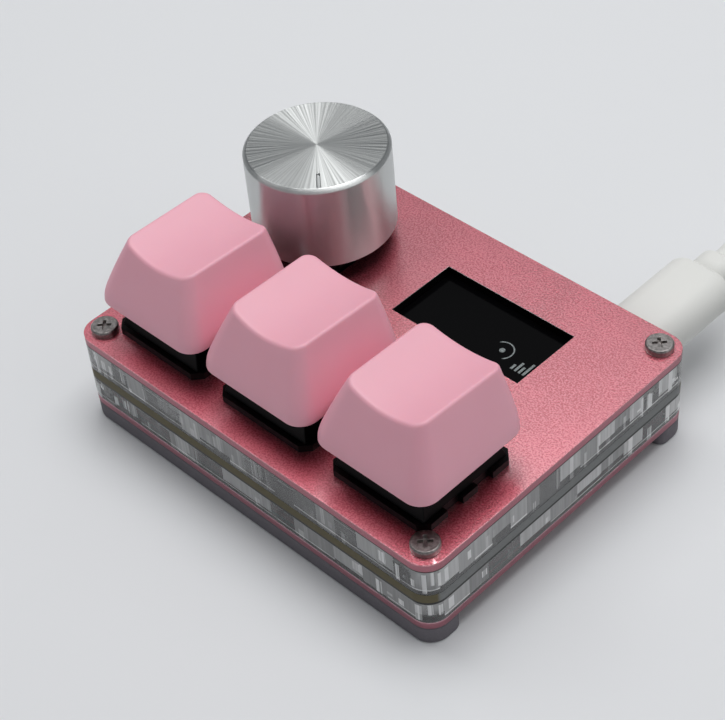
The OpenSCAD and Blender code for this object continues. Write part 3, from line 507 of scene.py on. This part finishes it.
# Clear frames: cast acrylic sheet cut by laser, which leaves fine upright lines in the edges.
# What shows through them is the space between the plates, with the switches and the board's parts.
# Where the beam left the edge frosted it shows grey, in stripes of uneven width.
ACRYLIC_BREAK = 0.12 * mm
FRAME_STRIPES = {"upper": (3.1 * mm, 3.4), "lower": (4.6 * mm, 8.1)}
STREAKS_A_FLAT, HAIRS_A_FLAT = 5, 16
CUT_LINE, CUT_LINE_STRETCH = 0.4 * mm, 40
CORNER_FAR, CORNER_NEAR = 40 * mm, 50 * mm
SHADE_LINE = 0.2 * mm
LEAST_FROST, FLAT_FROST, STREAK_FROST, PAINTED_GLINT_FROST = 0.08, 0.4, 0.6, 0.4
FLAT_TOP_SHARE, STREAK_LEAST, STREAK_FOOT_SHARE = 0.5, 0.3, 0.4
STREAK_FROM, STREAK_TO, STREAKS_MID_SIDE = 0.62, 0.7, 0.25
HAIR_LEAST, HAIR_SPREAD = 0.3, 1.2
LINE_LEAST, LINE_SPREAD = 0.7, 0.6
PAINTED_GLINT_LEVEL, PAINTED_GLINT_HALF = 0.2, 0.035
PAINTED_GLINT_FROM, PAINTED_GLINT_TO = 0.3, 0.4
BORDER_SOFT = 0.02
FROST_GAIN, RIGHT_FACE_PAINTED_LIGHT = 1.1, 0.4


def laser_cut(name, node, stripe, start):
    """Clear acrylic with frost on its edges: wide flats, each with a painted highlight line near its
    foot, and bright streaks that crowd near the corners. The right side face takes more frost, painted
    light on that side. A dark line of shade lies right under the layer above. A flat is about a stripe
    wide, and start picks the row of stripes."""
    low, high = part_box(node)
    clear = Finish(name, screen(250, 252, 252), roughness=0.03, ior=1.49, transmission_weight=1.0)
    x, y, z = clear.axes()
    level = (z - low.z) / (high.z - low.z)
    corner = (abs(x) + abs(y)).fade(CORNER_FAR, CORNER_NEAR)
    lines = clear.noise(CUT_LINE, detail=3, stretch=(1, 1, CUT_LINE_STRETCH))
    flat_tone, flat_top, flat_glint_chance = clear.cells(x + y, stripe, start)
    streak_tone, streak_top, streak_foot = clear.cells(x + y, stripe / STREAKS_A_FLAT, start)
    hair_tone = clear.cells(x + y, stripe / HAIRS_A_FLAT, start)[0]
    flats = FLAT_FROST * flat_tone * (level - flat_top * FLAT_TOP_SHARE).fade(0, BORDER_SOFT)
    crowd = STREAKS_MID_SIDE + (1 - STREAKS_MID_SIDE) * corner
    hairs = HAIR_LEAST + HAIR_SPREAD * hair_tone
    streaks = streak_tone.fade(STREAK_FROM, STREAK_TO) * crowd * hairs
    streaks = streaks * (streak_top + STREAK_LEAST - level).fade(0, 2 * BORDER_SOFT)
    streaks = streaks * (level - streak_foot * STREAK_FOOT_SHARE).fade(0, 2 * BORDER_SOFT)
    # Painted highlight: a bright frosted line near the foot of some of the flats.
    painted_glint = (PAINTED_GLINT_HALF - abs(level - PAINTED_GLINT_LEVEL)).fade(0, BORDER_SOFT)
    painted_glint = painted_glint * flat_glint_chance.fade(PAINTED_GLINT_FROM, PAINTED_GLINT_TO)
    frost = LEAST_FROST + flats + STREAK_FROST * streaks + PAINTED_GLINT_FROST * painted_glint
    frost = frost * (LINE_LEAST + LINE_SPREAD * lines) * FROST_GAIN
    # Painted light: more frost on the right side face, so that it shows lighter.
    frost = frost * (1 + RIGHT_FACE_PAINTED_LIGHT * x.fade(high.x - 2 * SHADE_LINE, high.x - SHADE_LINE))
    shade = z.fade(high.z - SHADE_LINE, high.z - SHADE_LINE / 2)
    clear.bump(lines, depth=0.04 * mm)
    clear.overlay(frost + shade, clear.mix(shade, screen(228, 228, 228), screen(12, 10, 11)),
                  roughness=0.4)
    return clear


for layer, (stripe, start) in FRAME_STRIPES.items():
    acrylic = laser_cut(f"{layer} clear acrylic", f"{layer}_frame", stripe, start)
    eased(f"{layer}_frame", acrylic, "acrylic", ACRYLIC_BREAK)

# Circuit board: glass-fibre laminate with a dark mask on its faces and a raw olive edge. The lower
# band of mask is widened as painted shade of the gap under the board, and along the right side the
# edge is painted grey as the reflection it shows there. The controller and the small parts are black
# mouldings soldered on it.
UPPER_MASK_T, LOWER_MASK_AND_SHADE_T, MASK_FADE = 0.1 * mm, 0.25 * mm, 0.05 * mm
REFLECTION_GREY_FROM, REFLECTION_GREY_TO = 0.3 * mm, 0.1 * mm
EDGE_ROUGHNESS, MASK_SMOOTHER = 0.62, 0.32
laminate = Finish("board laminate", screen(66, 66, 52), roughness=EDGE_ROUGHNESS)
board_x, _, board_z = laminate.axes()
board_low, board_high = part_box("main_board")
# Painted shade: the lower band of dark mask is widened to stand for the shade of the gap below.
lower_mask_and_shade = board_low.z + LOWER_MASK_AND_SHADE_T
mask_and_gap_shade = (board_z.fade(lower_mask_and_shade, lower_mask_and_shade - MASK_FADE)
          + board_z.fade(board_high.z - UPPER_MASK_T, board_high.z))
fibre = laminate.noise(0.5 * mm, detail=3, stretch=(1, 1, 0.15))
olive = laminate.mix(fibre, screen(72, 66, 42), screen(112, 102, 68))
# Painted reflection: along the right side the edge turns grey.
grey = laminate.mix(fibre, screen(96, 98, 98), screen(140, 142, 142))
edge_tone_and_reflection = laminate.mix(board_x.fade(board_high.x - REFLECTION_GREY_FROM, board_high.x - REFLECTION_GREY_TO), olive, grey)
laminate.feed("Base Color", laminate.mix(mask_and_gap_shade, edge_tone_and_reflection, screen(12, 13, 12)))
laminate.feed("Roughness", EDGE_ROUGHNESS - MASK_SMOOTHER * mask_and_gap_shade)
eased("main_board", laminate, "board", width=0.05 * mm)

black = Finish("black moulded plastic", screen(4, 4, 5), roughness=0.42, specular_ior_level=0.15)
black.grain(size=0.15 * mm, smoothest=0.36, spread=0.14, depth=0.004 * mm)
for part in ("controller_chip", "board_parts", "usb_socket_tongue"):
    eased(part, black, "black_plastic", width=0.05 * mm)

# Feet: two strips of grey rubber, cut from sheet and stuck along the front and the back.
# The cut sides have the same fine crumb as the faces.
rubber = Finish("grey rubber strip", screen(110, 106, 112), roughness=0.8)
crumb = rubber.grain(size=0.3 * mm, smoothest=0.72, spread=0.2, depth=0.03 * mm, detail=4, roughness=0.7)
rubber.feed("Base Color", rubber.mix(crumb, screen(96, 93, 99), screen(124, 119, 125)))
for foot in ("front_foot", "rear_foot"):
    eased(foot, rubber, "foot_rubber", width=0.25 * mm, segments=3)

# Corner screws: flat heads of dark nickel-plated steel with a worn cross recess. They go down
# through all the layers and hold the body together.
SCUFF_FROM, SCUFF_TO = 0.35, 0.7
dark_steel = Finish("dark nickel steel", screen(146, 141, 140), metallic=1.0, roughness=0.3)
scuff = dark_steel.grain(size=0.35 * mm, smoothest=0.22, spread=0.2, depth=0.008 * mm, detail=4,
                         roughness=0.6)
dark_steel.feed("Base Color", dark_steel.mix(scuff.fade(SCUFF_FROM, SCUFF_TO),
                                             screen(142, 138, 136), screen(180, 174, 172)))
eased("corner_screws", dark_steel, "screw", width=0.06 * mm)

# Display: a black glass panel under the window, lit with a plain level meter and a small dial ring,
# on a foam pad, with a folded film ribbon at its front.
PANEL_BLACK, PANEL_GREY = screen(3, 3, 4), screen(150, 158, 158)
LIT_SOFT = 0.04 * mm
RING_CENTRE = (12.6 * mm, 9.4 * mm)
RING_R, RING_T = 1.5 * mm, 0.14 * mm
RING_GAP_FROM, RING_GAP_TO = 0.2 * mm, -0.4 * mm
HUB_R, HUB_FADE_R = 0.34 * mm, 0.42 * mm
BAR_LEFT, BAR_FOOT = 15.4 * mm, 7.6 * mm
BAR_STEP, BAR_W = 0.62 * mm, 0.3 * mm
BAR_HEIGHTS = (0.9 * mm, 1.7 * mm, 1.2 * mm, 2.3 * mm)
DOT_SIZE, DOT_FROM, DOT_TO, DOT_GAP_LIGHT = 0.16 * mm, 0.42, 0.6, 0.55
TRACK_PITCH, TRACK_SOFT = 0.5 * mm, 0.2
AMBER, AMBER_TRACK = screen(170, 104, 38), screen(196, 140, 62)
panel = Finish("black display glass", PANEL_BLACK, roughness=0.12, specular_ior_level=0.06)
panel_x, panel_y = panel.axes()[:2]
across = panel_x - RING_CENTRE[0]
upward = panel_y - RING_CENTRE[1]
from_ring = across.reach(upward)
ring = abs(from_ring - RING_R).fade(RING_T / 2 + LIT_SOFT, RING_T / 2)
lit = ring * (across + upward).fade(RING_GAP_TO, RING_GAP_FROM) + from_ring.fade(HUB_FADE_R, HUB_R)
for number, height in enumerate(BAR_HEIGHTS):
    left = BAR_LEFT + number * BAR_STEP
    lit = lit + (panel_x.within(left, left + BAR_W, LIT_SOFT)
                 * panel_y.within(BAR_FOOT, BAR_FOOT + height, LIT_SOFT))
dots = panel.noise(DOT_SIZE, detail=1).fade(DOT_FROM, DOT_TO)
shown = lit * (DOT_GAP_LIGHT + (1 - DOT_GAP_LIGHT) * dots)
panel.feed("Base Color", panel.mix(shown, PANEL_BLACK, PANEL_GREY))
eased("display_glass", panel, "display", width=0.05 * mm)

foam = Finish("black foam tape", screen(30, 30, 30), roughness=0.95)
foam.bump(foam.noise(0.3 * mm), depth=0.05 * mm)
eased("display_pad", foam, "foam", width=0.1 * mm)
ribbon = Finish("amber film", AMBER, roughness=0.25)
track = ribbon.axes()[0].wave(TRACK_PITCH).fade(-TRACK_SOFT, TRACK_SOFT)
ribbon.feed("Base Color", ribbon.mix(track, AMBER, AMBER_TRACK))
eased("display_flex", ribbon, "ribbon", width=0.02 * mm)

# Key switches: black moulded housings clipped in the plate, a brown stem, a spring of drawn wire
# and two leaf contacts, all as constructed, with the moulding's small edge breaks.
KEYS = (1, 2, 3)
WIRE_R = 0.14 * mm
WIRE_SIDES = 10
SPRING_TURNS = 8
SPRING_STEPS = 28
stem_brown = Finish("brown moulded plastic", screen(120, 66, 38), roughness=0.4)
stem_brown.grain(size=0.8 * mm, smoothest=0.34, spread=0.12)
wire_steel = Finish("bright drawn wire", screen(200, 200, 202), metallic=1.0, roughness=0.22)
wire_steel.grain(size=0.2 * mm, smoothest=0.16, spread=0.14)
contact_metal = Finish("contact bronze", screen(206, 170, 96), metallic=1.0, roughness=0.3)
contact_metal.grain(size=0.5 * mm, smoothest=0.22, spread=0.18)


def coil_spring(low, high, centre, mean_r):
    """Tube along a helix: the angle runs evenly and the height rises evenly with it."""
    s = np.linspace(0, 1, SPRING_TURNS * SPRING_STEPS + 1)
    angle = 2 * pi * SPRING_TURNS * s
    path = np.stack([centre[0] + mean_r * np.cos(angle), centre[1] + mean_r * np.sin(angle),
                     low + (high - low) * s], axis=1)
    return along(path, WIRE_R, WIRE_SIDES)


for key in KEYS:
    eased(f"switch_base_{key}", black, "black_plastic", width=0.12 * mm)
    eased(f"switch_cover_{key}", black, "black_plastic", width=0.15 * mm)
    eased(f"switch_stem_{key}", stem_brown, "stem_plastic", width=0.08 * mm)
    eased(f"switch_contacts_{key}", contact_metal, "brass_contact", width=0.03 * mm)
    spring_low, spring_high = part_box(f"switch_spring_{key}")
    helix = coil_spring(spring_low.z + WIRE_R, spring_high.z - WIRE_R, (spring_low + spring_high) / 2,
                        (spring_high.y - spring_low.y) / 2 - WIRE_R)
    spring = skin(f"return_spring_{key}", helix, poles=(True, True))
    dress(spring, wire_steel, "base", "spring_steel", f"switch_spring_{key}")
    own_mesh(spring)

# Keycaps: pink moulded plastic with a fine matt face. The skirt stands upright for a millimetre,
# then the sides lean in with a slight bulge to a soft rim round a dish that runs front to back.
CAP_LIP = 1.0 * mm
CAP_LIP_SOFT = 0.8 * mm
CAP_TOP_HALF = 5.85 * mm
CAP_TOP_FRONT, CAP_TOP_BACK = 5.2 * mm, 8.2 * mm
CAP_FRONT_H, CAP_BACK_H = 8.9 * mm, 8.4 * mm
CAP_LEAN_MOST = 1.1
CAP_DISH = 1.04 * mm
CAP_DISH_R = (CAP_TOP_HALF ** 2 + CAP_DISH ** 2) / (2 * CAP_DISH)
CAP_DISH_REACH = 9 * mm
CAP_BASE_R, CAP_TOP_R = 2.6 * mm, 1.5 * mm
CAP_BULGE = 0.08 * mm
CAP_RIM = 0.45 * mm
CAP_WALL = 1.3 * mm
CAP_HOLLOW = 5.4 * mm
CAP_FOOT_BREAK = 0.15 * mm
BREAK_MIDDLE = 0.3
CORNER_POINTS, SIDE_POINTS = 10, 12
RIM_ROUNDS = 30
DISH_START = 0.02
DISH_RINGS, RIM_RINGS, SIDE_RINGS, HOLLOW_RINGS = 16, 9, 22, 10
CEILING_SHARES = (0.7, 0.4, 0.1)

cap_low, cap_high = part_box("keycap_1")
cap_half = (cap_high.x - cap_low.x) / 2
quarter = np.linspace(0, pi / 2, CORNER_POINTS, endpoint=False)
hold = np.full(SIDE_POINTS, pi / 2)
slide = np.linspace(1, -1, SIDE_POINTS, endpoint=False)
still = np.ones(CORNER_POINTS)
held = np.ones(SIDE_POINTS)
round_angle = np.concatenate([stretch + q * pi / 2 for q in range(4) for stretch in (quarter, hold)])
centre_x = np.concatenate([still, slide, -still, -held, -still, -slide, still, held])
centre_y = np.concatenate([still, held, still, slide, -still, -held, -still, -slide])
outward = np.stack([np.cos(round_angle), np.sin(round_angle)], axis=1)


def cap_side(z):
    """Outline point of the cap's outside at height z: a rectangle with round corners that narrows as
    a soft ramp above the lip, plus a bulge. z has one value for each point round the outline."""
    ramp = 0.5 * (z - CAP_LIP + np.sqrt((z - CAP_LIP) ** 2 + CAP_LIP_SOFT ** 2))
    lean = np.clip(ramp / (CAP_FRONT_H - CAP_LIP), 0, CAP_LEAN_MOST)
    bulge = CAP_BULGE * np.sin(pi * np.clip(lean, 0, 1))
    half = cap_half + (CAP_TOP_HALF - cap_half) * lean + bulge
    front = cap_half + (CAP_TOP_FRONT - cap_half) * lean + bulge
    back = cap_half + (CAP_TOP_BACK - cap_half) * lean + bulge
    radius = CAP_BASE_R + (CAP_TOP_R - CAP_BASE_R) * lean
    x = centre_x * (half - radius) + radius * outward[:, 0]
    y = (back - front) / 2 + centre_y * ((back + front) / 2 - radius) + radius * outward[:, 1]
    return np.stack([x, y], axis=1)


def cap_dish(xy):
    """Height of the dished top: a plane that falls to the back, less a round trough along Y."""
    share = (xy[:, 1] + CAP_TOP_FRONT) / (CAP_TOP_FRONT + CAP_TOP_BACK)
    plane = CAP_FRONT_H + (CAP_BACK_H - CAP_FRONT_H) * share
    beside = np.clip(xy[:, 0], -CAP_DISH_REACH, CAP_DISH_REACH)
    trough = CAP_DISH_R - np.sqrt(CAP_DISH_R ** 2 - beside ** 2)
    return plane - CAP_DISH + trough


def lifted(xy, z):
    """Flat points raised to a height, or each to its own."""
    return np.column_stack([xy, np.broadcast_to(z, (len(xy),))])


def cap_rings():
    """Rings from the dish's middle over the rim, down the outside, and up the hollow to its ceiling.
    The rim's height is found by rounds, as the side's width there and the dish hang on each other."""
    top_z = np.full(len(round_angle), CAP_FRONT_H)
    for _ in range(RIM_ROUNDS):
        top_z = cap_dish(cap_side(top_z))
    corner = lifted(cap_side(top_z), top_z)
    below = lifted(cap_side(top_z - CAP_RIM), top_z - CAP_RIM)
    inner_xy = corner[:, :2] - CAP_RIM * outward
    inside = lifted(inner_xy, cap_dish(inner_xy))
    middle = inner_xy.mean(axis=0)
    rings = []
    for s in np.linspace(DISH_START, 1, DISH_RINGS, endpoint=False):
        xy = middle + (inner_xy - middle) * s
        rings.append(lifted(xy, cap_dish(xy)))
    for t in np.linspace(0, 1, RIM_RINGS):
        rings.append((1 - t) ** 2 * inside + 2 * t * (1 - t) * corner + t ** 2 * below)
    for s in np.linspace(1, 0, SIDE_RINGS, endpoint=False)[1:]:
        z = (top_z - CAP_RIM) * s
        rings.append(lifted(cap_side(z), z))
    foot = cap_side(np.zeros(len(round_angle)))
    near_foot = BREAK_MIDDLE * CAP_FOOT_BREAK
    rings.append(lifted(foot, CAP_FOOT_BREAK))
    rings.append(lifted(foot - near_foot * outward, near_foot))
    rings.append(lifted(foot - CAP_FOOT_BREAK * outward, 0))
    rings.append(lifted(foot - (CAP_WALL - CAP_FOOT_BREAK) * outward, 0))
    for z in np.linspace(CAP_FOOT_BREAK, CAP_HOLLOW, HOLLOW_RINGS):
        rings.append(lifted(cap_side(np.full(len(round_angle), z)) - CAP_WALL * outward, z))
    ceiling = rings[-1][:, :2]
    for s in CEILING_SHARES:
        rings.append(lifted(ceiling.mean(axis=0) + (ceiling - ceiling.mean(axis=0)) * s, CAP_HOLLOW))
    return np.array(rings)


pink = Finish("pink moulded keycap", screen(242, 178, 194), roughness=0.5, specular_ior_level=1.0,
              subsurface_weight=0.08, subsurface_scale=0.6 * mm)
pink.grain(size=0.12 * mm, smoothest=0.46, spread=0.1, depth=0.006 * mm)
pink.feed("Base Color", pink.mix(pink.noise(6 * mm), screen(240, 168, 185), screen(243, 175, 191)))

# Keycap bosses: the tube inside each cap that takes its switch's stem, moulded with the cap. Its
# bore is a cross, so that the cap can't turn.
BOSS_R, BOSS_FOOT = 2.8 * mm, 1.1 * mm
CROSS_LONG, CROSS_SHORT, CROSS_DEPTH = 2.05 * mm, 0.62 * mm, 3.9 * mm
BOSS_ANGLES = 60
HARD_EDGE = radians(28)


def boss_rings():
    """Rings of the tube that takes the stem: down its outside, in across its foot, and up the bore.
    The bore's reach at each angle is that of the longer of two crossed bars."""
    inner = atan2(CROSS_SHORT, CROSS_LONG)
    corners = [q * pi / 2 + a for q in range(4) for a in (-inner, inner, pi / 4)]
    even = np.linspace(0, 2 * pi, BOSS_ANGLES, endpoint=False)
    angle = np.unique(np.concatenate([even, np.mod(corners, 2 * pi)]))
    turn = np.stack([np.cos(angle), np.sin(angle)], axis=1)
    steep = np.maximum(np.abs(turn), TINY)
    bars = [np.minimum(a / steep[:, 0], b / steep[:, 1])
            for a, b in ((CROSS_LONG, CROSS_SHORT), (CROSS_SHORT, CROSS_LONG))]
    bore = np.maximum(*bars)[:, None] * turn
    tube = BOSS_R * turn
    return np.array([lifted(tube, CAP_HOLLOW), lifted(tube, BOSS_FOOT), lifted(bore, BOSS_FOOT),
                     lifted(bore, BOSS_FOOT + CROSS_DEPTH)])


cap_form = cap_rings()
boss_form = boss_rings()
for key in KEYS:
    low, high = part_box(f"keycap_{key}")
    cap_centre = np.array([(low.x + high.x) / 2, (low.y + high.y) / 2, low.z])
    cap = skin(f"pink_keycap_{key}", cap_form + cap_centre, poles=(True, True))
    dress(cap, pink, f"key_{key}", "keycap", f"keycap_{key}")
    boss = skin(f"pink_keycap_boss_{key}", boss_form + cap_centre, poles=(False, True))
    boss.data.set_sharp_from_angle(angle=HARD_EDGE)
    dress(boss, pink, f"key_{key}", "keycap", f"keycap_{key}")

# Rotary encoder under the knob: black housing, folded steel lid with its bushing, tinned pins,
# and inside it the contact disc, the snap dome and the turned shaft. The knob's core is pressed on.
tinned = Finish("tinned pins", screen(188, 188, 186), metallic=1.0, roughness=0.35)
tinned.grain(size=0.3 * mm, smoothest=0.28, spread=0.18)
turned = Finish("turned shaft", screen(196, 196, 198), metallic=1.0, roughness=0.3)
turned.grain(size=0.6 * mm, smoothest=0.22, spread=0.2, detail=3, stretch=(1, 1, 0.1))
# Painted shade: the encoder's steel lid is coloured near-black, the shade under the knob.
painted_shade_black = Finish("blackened sheet", screen(26, 25, 26), metallic=1.0, roughness=0.4)
painted_shade_black.grain(size=0.5 * mm, smoothest=0.34, spread=0.16)
grey_core = Finish("grey moulded core", screen(70, 70, 72), roughness=0.5)
grey_core.grain(size=0.4 * mm, smoothest=0.44, spread=0.14)
eased("encoder_base", black, "black_plastic", width=0.12 * mm)
eased("encoder_cover", painted_shade_black, "plated_steel", width=0.08 * mm)
eased("encoder_pins", tinned, "plated_steel", width=0.03 * mm)
eased("encoder_rotor", contact_metal, "brass_contact", width=0.05 * mm)
eased("encoder_shaft", turned, "shaft_metal", width=0.1 * mm)
dome = eased("encoder_dome", nickel, "plated_steel", width=0.03 * mm)
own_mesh(dome)
eased("knob_core", grey_core, "grey_plastic", width=0.08 * mm)

# Knob: a cup turned from aluminium, clear anodised. The top is faced in fine rings that throw
# bright fans of light, the rim has a polished bevel, and a short index mark is milled in the top.
INDEX_TURN = radians(-43)
INDEX_START, INDEX_END = 6.0 * mm, 8.97 * mm
INDEX_HALF_W, INDEX_DEPTH, INDEX_WALL = 0.25 * mm, 0.3 * mm, 0.06 * mm
INDEX_SWEEP = radians(5)
KNOB_BEVEL, KNOB_FOOT_BREAK = 0.5 * mm, 0.2 * mm
KNOB_WALL, KNOB_CROWN = 1.9 * mm, 1.8 * mm
KNOB_BREAK = 0.05 * mm
CENTRE_R, PLAIN_R = 0.05 * mm, 5.1 * mm
FINE_ANGLES, COARSE_ANGLES = 61, 180
PLAIN_RINGS, MARK_RINGS, SIDE_STEPS = 14, 64, 12
FACE_LINE, SIDE_LINE = 0.12 * mm, 0.2 * mm
LINE_DEPTH, LINE_ROUGHNESS = 0.003 * mm, 0.12
CHATTER = 24.0
RAY_TILT = 0.00025
RAY_LOW, RAY_HIGH = 0.4, 0.62
SLOT_SHADE_FROM, SLOT_SHADE_TO, SLOT_SHADE_RIM = 0.02 * mm, 0.1 * mm, 0.3 * mm
knob_low, knob_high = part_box("knob_shell")
knob_axis = (knob_low + knob_high) / 2
knob_r = (knob_high.x - knob_low.x) / 2


def knob_angles():
    """Angles round the knob, dense near the index mark so that its walls come out straight."""
    fine = np.linspace(-INDEX_SWEEP, INDEX_SWEEP, FINE_ANGLES)
    coarse = np.linspace(INDEX_SWEEP, 2 * pi - INDEX_SWEEP, COARSE_ANGLES)[1:-1]
    return np.concatenate([fine, coarse]) + INDEX_TURN


def index_depth(radius, angle):
    """Depth of the milled mark: full inside a slot with round ends, and none a hair outside it."""
    beside = radius * np.sin(angle - INDEX_TURN)
    forward = radius * np.cos(angle - INDEX_TURN)
    beyond = np.maximum(np.maximum(INDEX_START + INDEX_HALF_W - forward,
                                   forward - INDEX_END + INDEX_HALF_W), 0)
    gap = INDEX_HALF_W - np.sqrt(beside ** 2 + beyond ** 2)
    return INDEX_DEPTH * np.clip(gap / INDEX_WALL, 0, 1)


def lathe(profile, angles, centre, sunk=None):
    """Turns a profile of radius and height round an upright axis; sunk lowers points by a depth."""
    radius, height = np.array(profile).T
    r, a = np.meshgrid(radius, angles, indexing="ij")
    z = np.broadcast_to(height[:, None], r.shape)
    if sunk is not None:
        z = z - sunk(r, a)
    return np.stack([centre[0] + r * np.cos(a), centre[1] + r * np.sin(a), z], axis=-1)


top_z = knob_high.z
face_r = knob_r - KNOB_BEVEL
top_rings = [(r, top_z) for r in np.linspace(CENTRE_R, PLAIN_R, PLAIN_RINGS, endpoint=False)]
top_rings += [(r, top_z) for r in np.linspace(PLAIN_R, face_r - KNOB_BREAK, MARK_RINGS)]
knob_top = skin("knob_face", lathe(top_rings, knob_angles(), knob_axis, index_depth),
                poles=(True, False))
rim_profile = [(face_r - KNOB_BREAK, top_z), (face_r, top_z - KNOB_BREAK * BREAK_MIDDLE),
               (knob_r - KNOB_BREAK, top_z - KNOB_BEVEL + KNOB_BREAK),
               (knob_r, top_z - KNOB_BEVEL - KNOB_BREAK)]
side_heights = np.linspace(top_z - KNOB_BEVEL - 2 * KNOB_BREAK, knob_low.z + KNOB_FOOT_BREAK, SIDE_STEPS)
side_profile = [(knob_r, z) for z in side_heights]
foot_profile = [(knob_r - KNOB_FOOT_BREAK, knob_low.z), (knob_r - KNOB_WALL, knob_low.z),
                (knob_r - KNOB_WALL, top_z - KNOB_CROWN), (CENTRE_R, top_z - KNOB_CROWN)]
knob_body = skin("knob_cup", lathe(rim_profile + side_profile + foot_profile, knob_angles(), knob_axis),
                 poles=(False, True))
knob_body.data.set_sharp_from_angle(angle=HARD_EDGE)


def spun(name, roughness, lines_out, lines_up, dull, rays):
    """Turned aluminium: brushed round the knob's axis, with fine lines in its normal, so many a metre
    outwards and upwards. A share of it, dull, scatters evenly, and so do the rays that the cutter's
    chatter leaves."""
    metal = Finish(name, screen(222, 224, 224), metallic=1.0, roughness=roughness, anisotropic=1.0,
                   anisotropic_rotation=0.25)
    x, y, z = metal.axes()
    dx, dy = x - knob_axis.x, y - knob_axis.y
    radius = dx.reach(dy)
    position = metal.node("ShaderNodeCombineXYZ", {}, {0: radius * lines_out, 1: z * lines_up})
    lines = metal.node("ShaderNodeTexNoise", {}, {"Vector": position, "Scale": 1.0, "Detail": 3.0})
    angle = metal.node("ShaderNodeMath", {"operation": "ARCTAN2"}, {0: dy, 1: dx})
    chatter = metal.node("ShaderNodeTexNoise", {"noise_dimensions": "1D"},
                         {"W": angle * CHATTER, "Scale": 1.0, "Detail": 2.0})
    metal.bump(chatter * radius * (RAY_TILT / mm) + lines * (LINE_DEPTH / mm), depth=mm)
    metal.overlay(dull + rays * chatter.fade(RAY_LOW, RAY_HIGH), screen(184, 186, 185), metallic=1.0,
                  roughness=0.5)
    metal.feed("Roughness", roughness - LINE_ROUGHNESS / 2 + LINE_ROUGHNESS * lines)
    # Painted shade: below the face's level and inside its edge the metal is darker, on the index mark's
    # floor and the inner edge of the rim bevel.
    milled = (z.fade(knob_high.z - SLOT_SHADE_FROM, knob_high.z - SLOT_SHADE_TO)
              * radius.fade(knob_r - SLOT_SHADE_RIM, face_r))
    metal.feed("Base Color", metal.mix(milled, screen(212, 214, 213), screen(168, 171, 171)))
    return metal


faced = spun("faced aluminium", 0.33, lines_out=1 / FACE_LINE, lines_up=0, dull=0.06, rays=0.8)
polished = spun("turned aluminium side", 0.3, lines_out=0, lines_up=1 / SIDE_LINE, dull=0.06, rays=0)
dress(knob_top, faced, "knob", "knob_metal", "knob_shell")
dress(knob_body, polished, "knob", "knob_metal", "knob_shell")

# Floor and light: a plain pale sheet in a dim even room. A large soft lamp hangs overhead, a window
# glows at the right, a wall at the left, and a faint wall behind. Each lamp has its name, its place
# and size in metres, and its power in watts, and faces the keypad.
FLOOR_SIZE = 3.0
ROOM_LIGHT = 0.29
LAMPS = (
    ("overhead lamp", (-0.02, 0.12, 0.60), (0.46, 0.36), 2.2),
    ("window glow", (0.48, 0.24, 0.50), (0.5, 0.5), 0.45),
    ("wall glow", (-0.45, 0.0, 0.69), (0.3, 0.3), 0.7),
    ("far wall", (-0.23, 0.37, 0.55), (0.36, 0.25), 0.10),
)
floor_mesh = bpy.data.meshes.new("floor")
half_floor = FLOOR_SIZE / 2
floor_mesh.from_pydata([(-half_floor, -half_floor, 0), (half_floor, -half_floor, 0),
                        (half_floor, half_floor, 0), (-half_floor, half_floor, 0)], [], [(0, 1, 2, 3)])
floor = bpy.data.objects.new("floor", floor_mesh)
bpy.context.scene.collection.objects.link(floor)
paper = Finish("pale floor", screen(232, 233, 235), roughness=0.6, specular_ior_level=0.2)
floor_mesh.materials.append(paper.material)

for name, place, size, power in LAMPS:
    lamp_data = bpy.data.lights.new(name, "AREA")
    lamp_data.shape = "RECTANGLE"
    lamp_data.size, lamp_data.size_y = size
    lamp_data.energy = power
    lamp = bpy.data.objects.new(name, lamp_data)
    lamp.matrix_world = Vector(place).to_track_quat("Z", "Y").to_matrix().to_4x4()
    lamp.matrix_world.translation = Vector(place)
    bpy.context.scene.collection.objects.link(lamp)

world = bpy.data.worlds.new("room")
world.use_nodes = True
world.node_tree.nodes["Background"].inputs["Color"].default_value = screen(220, 224, 228)
world.node_tree.nodes["Background"].inputs["Strength"].default_value = ROOM_LIGHT
bpy.context.scene.world = world
bpy.context.scene.view_settings.view_transform = "Standard"
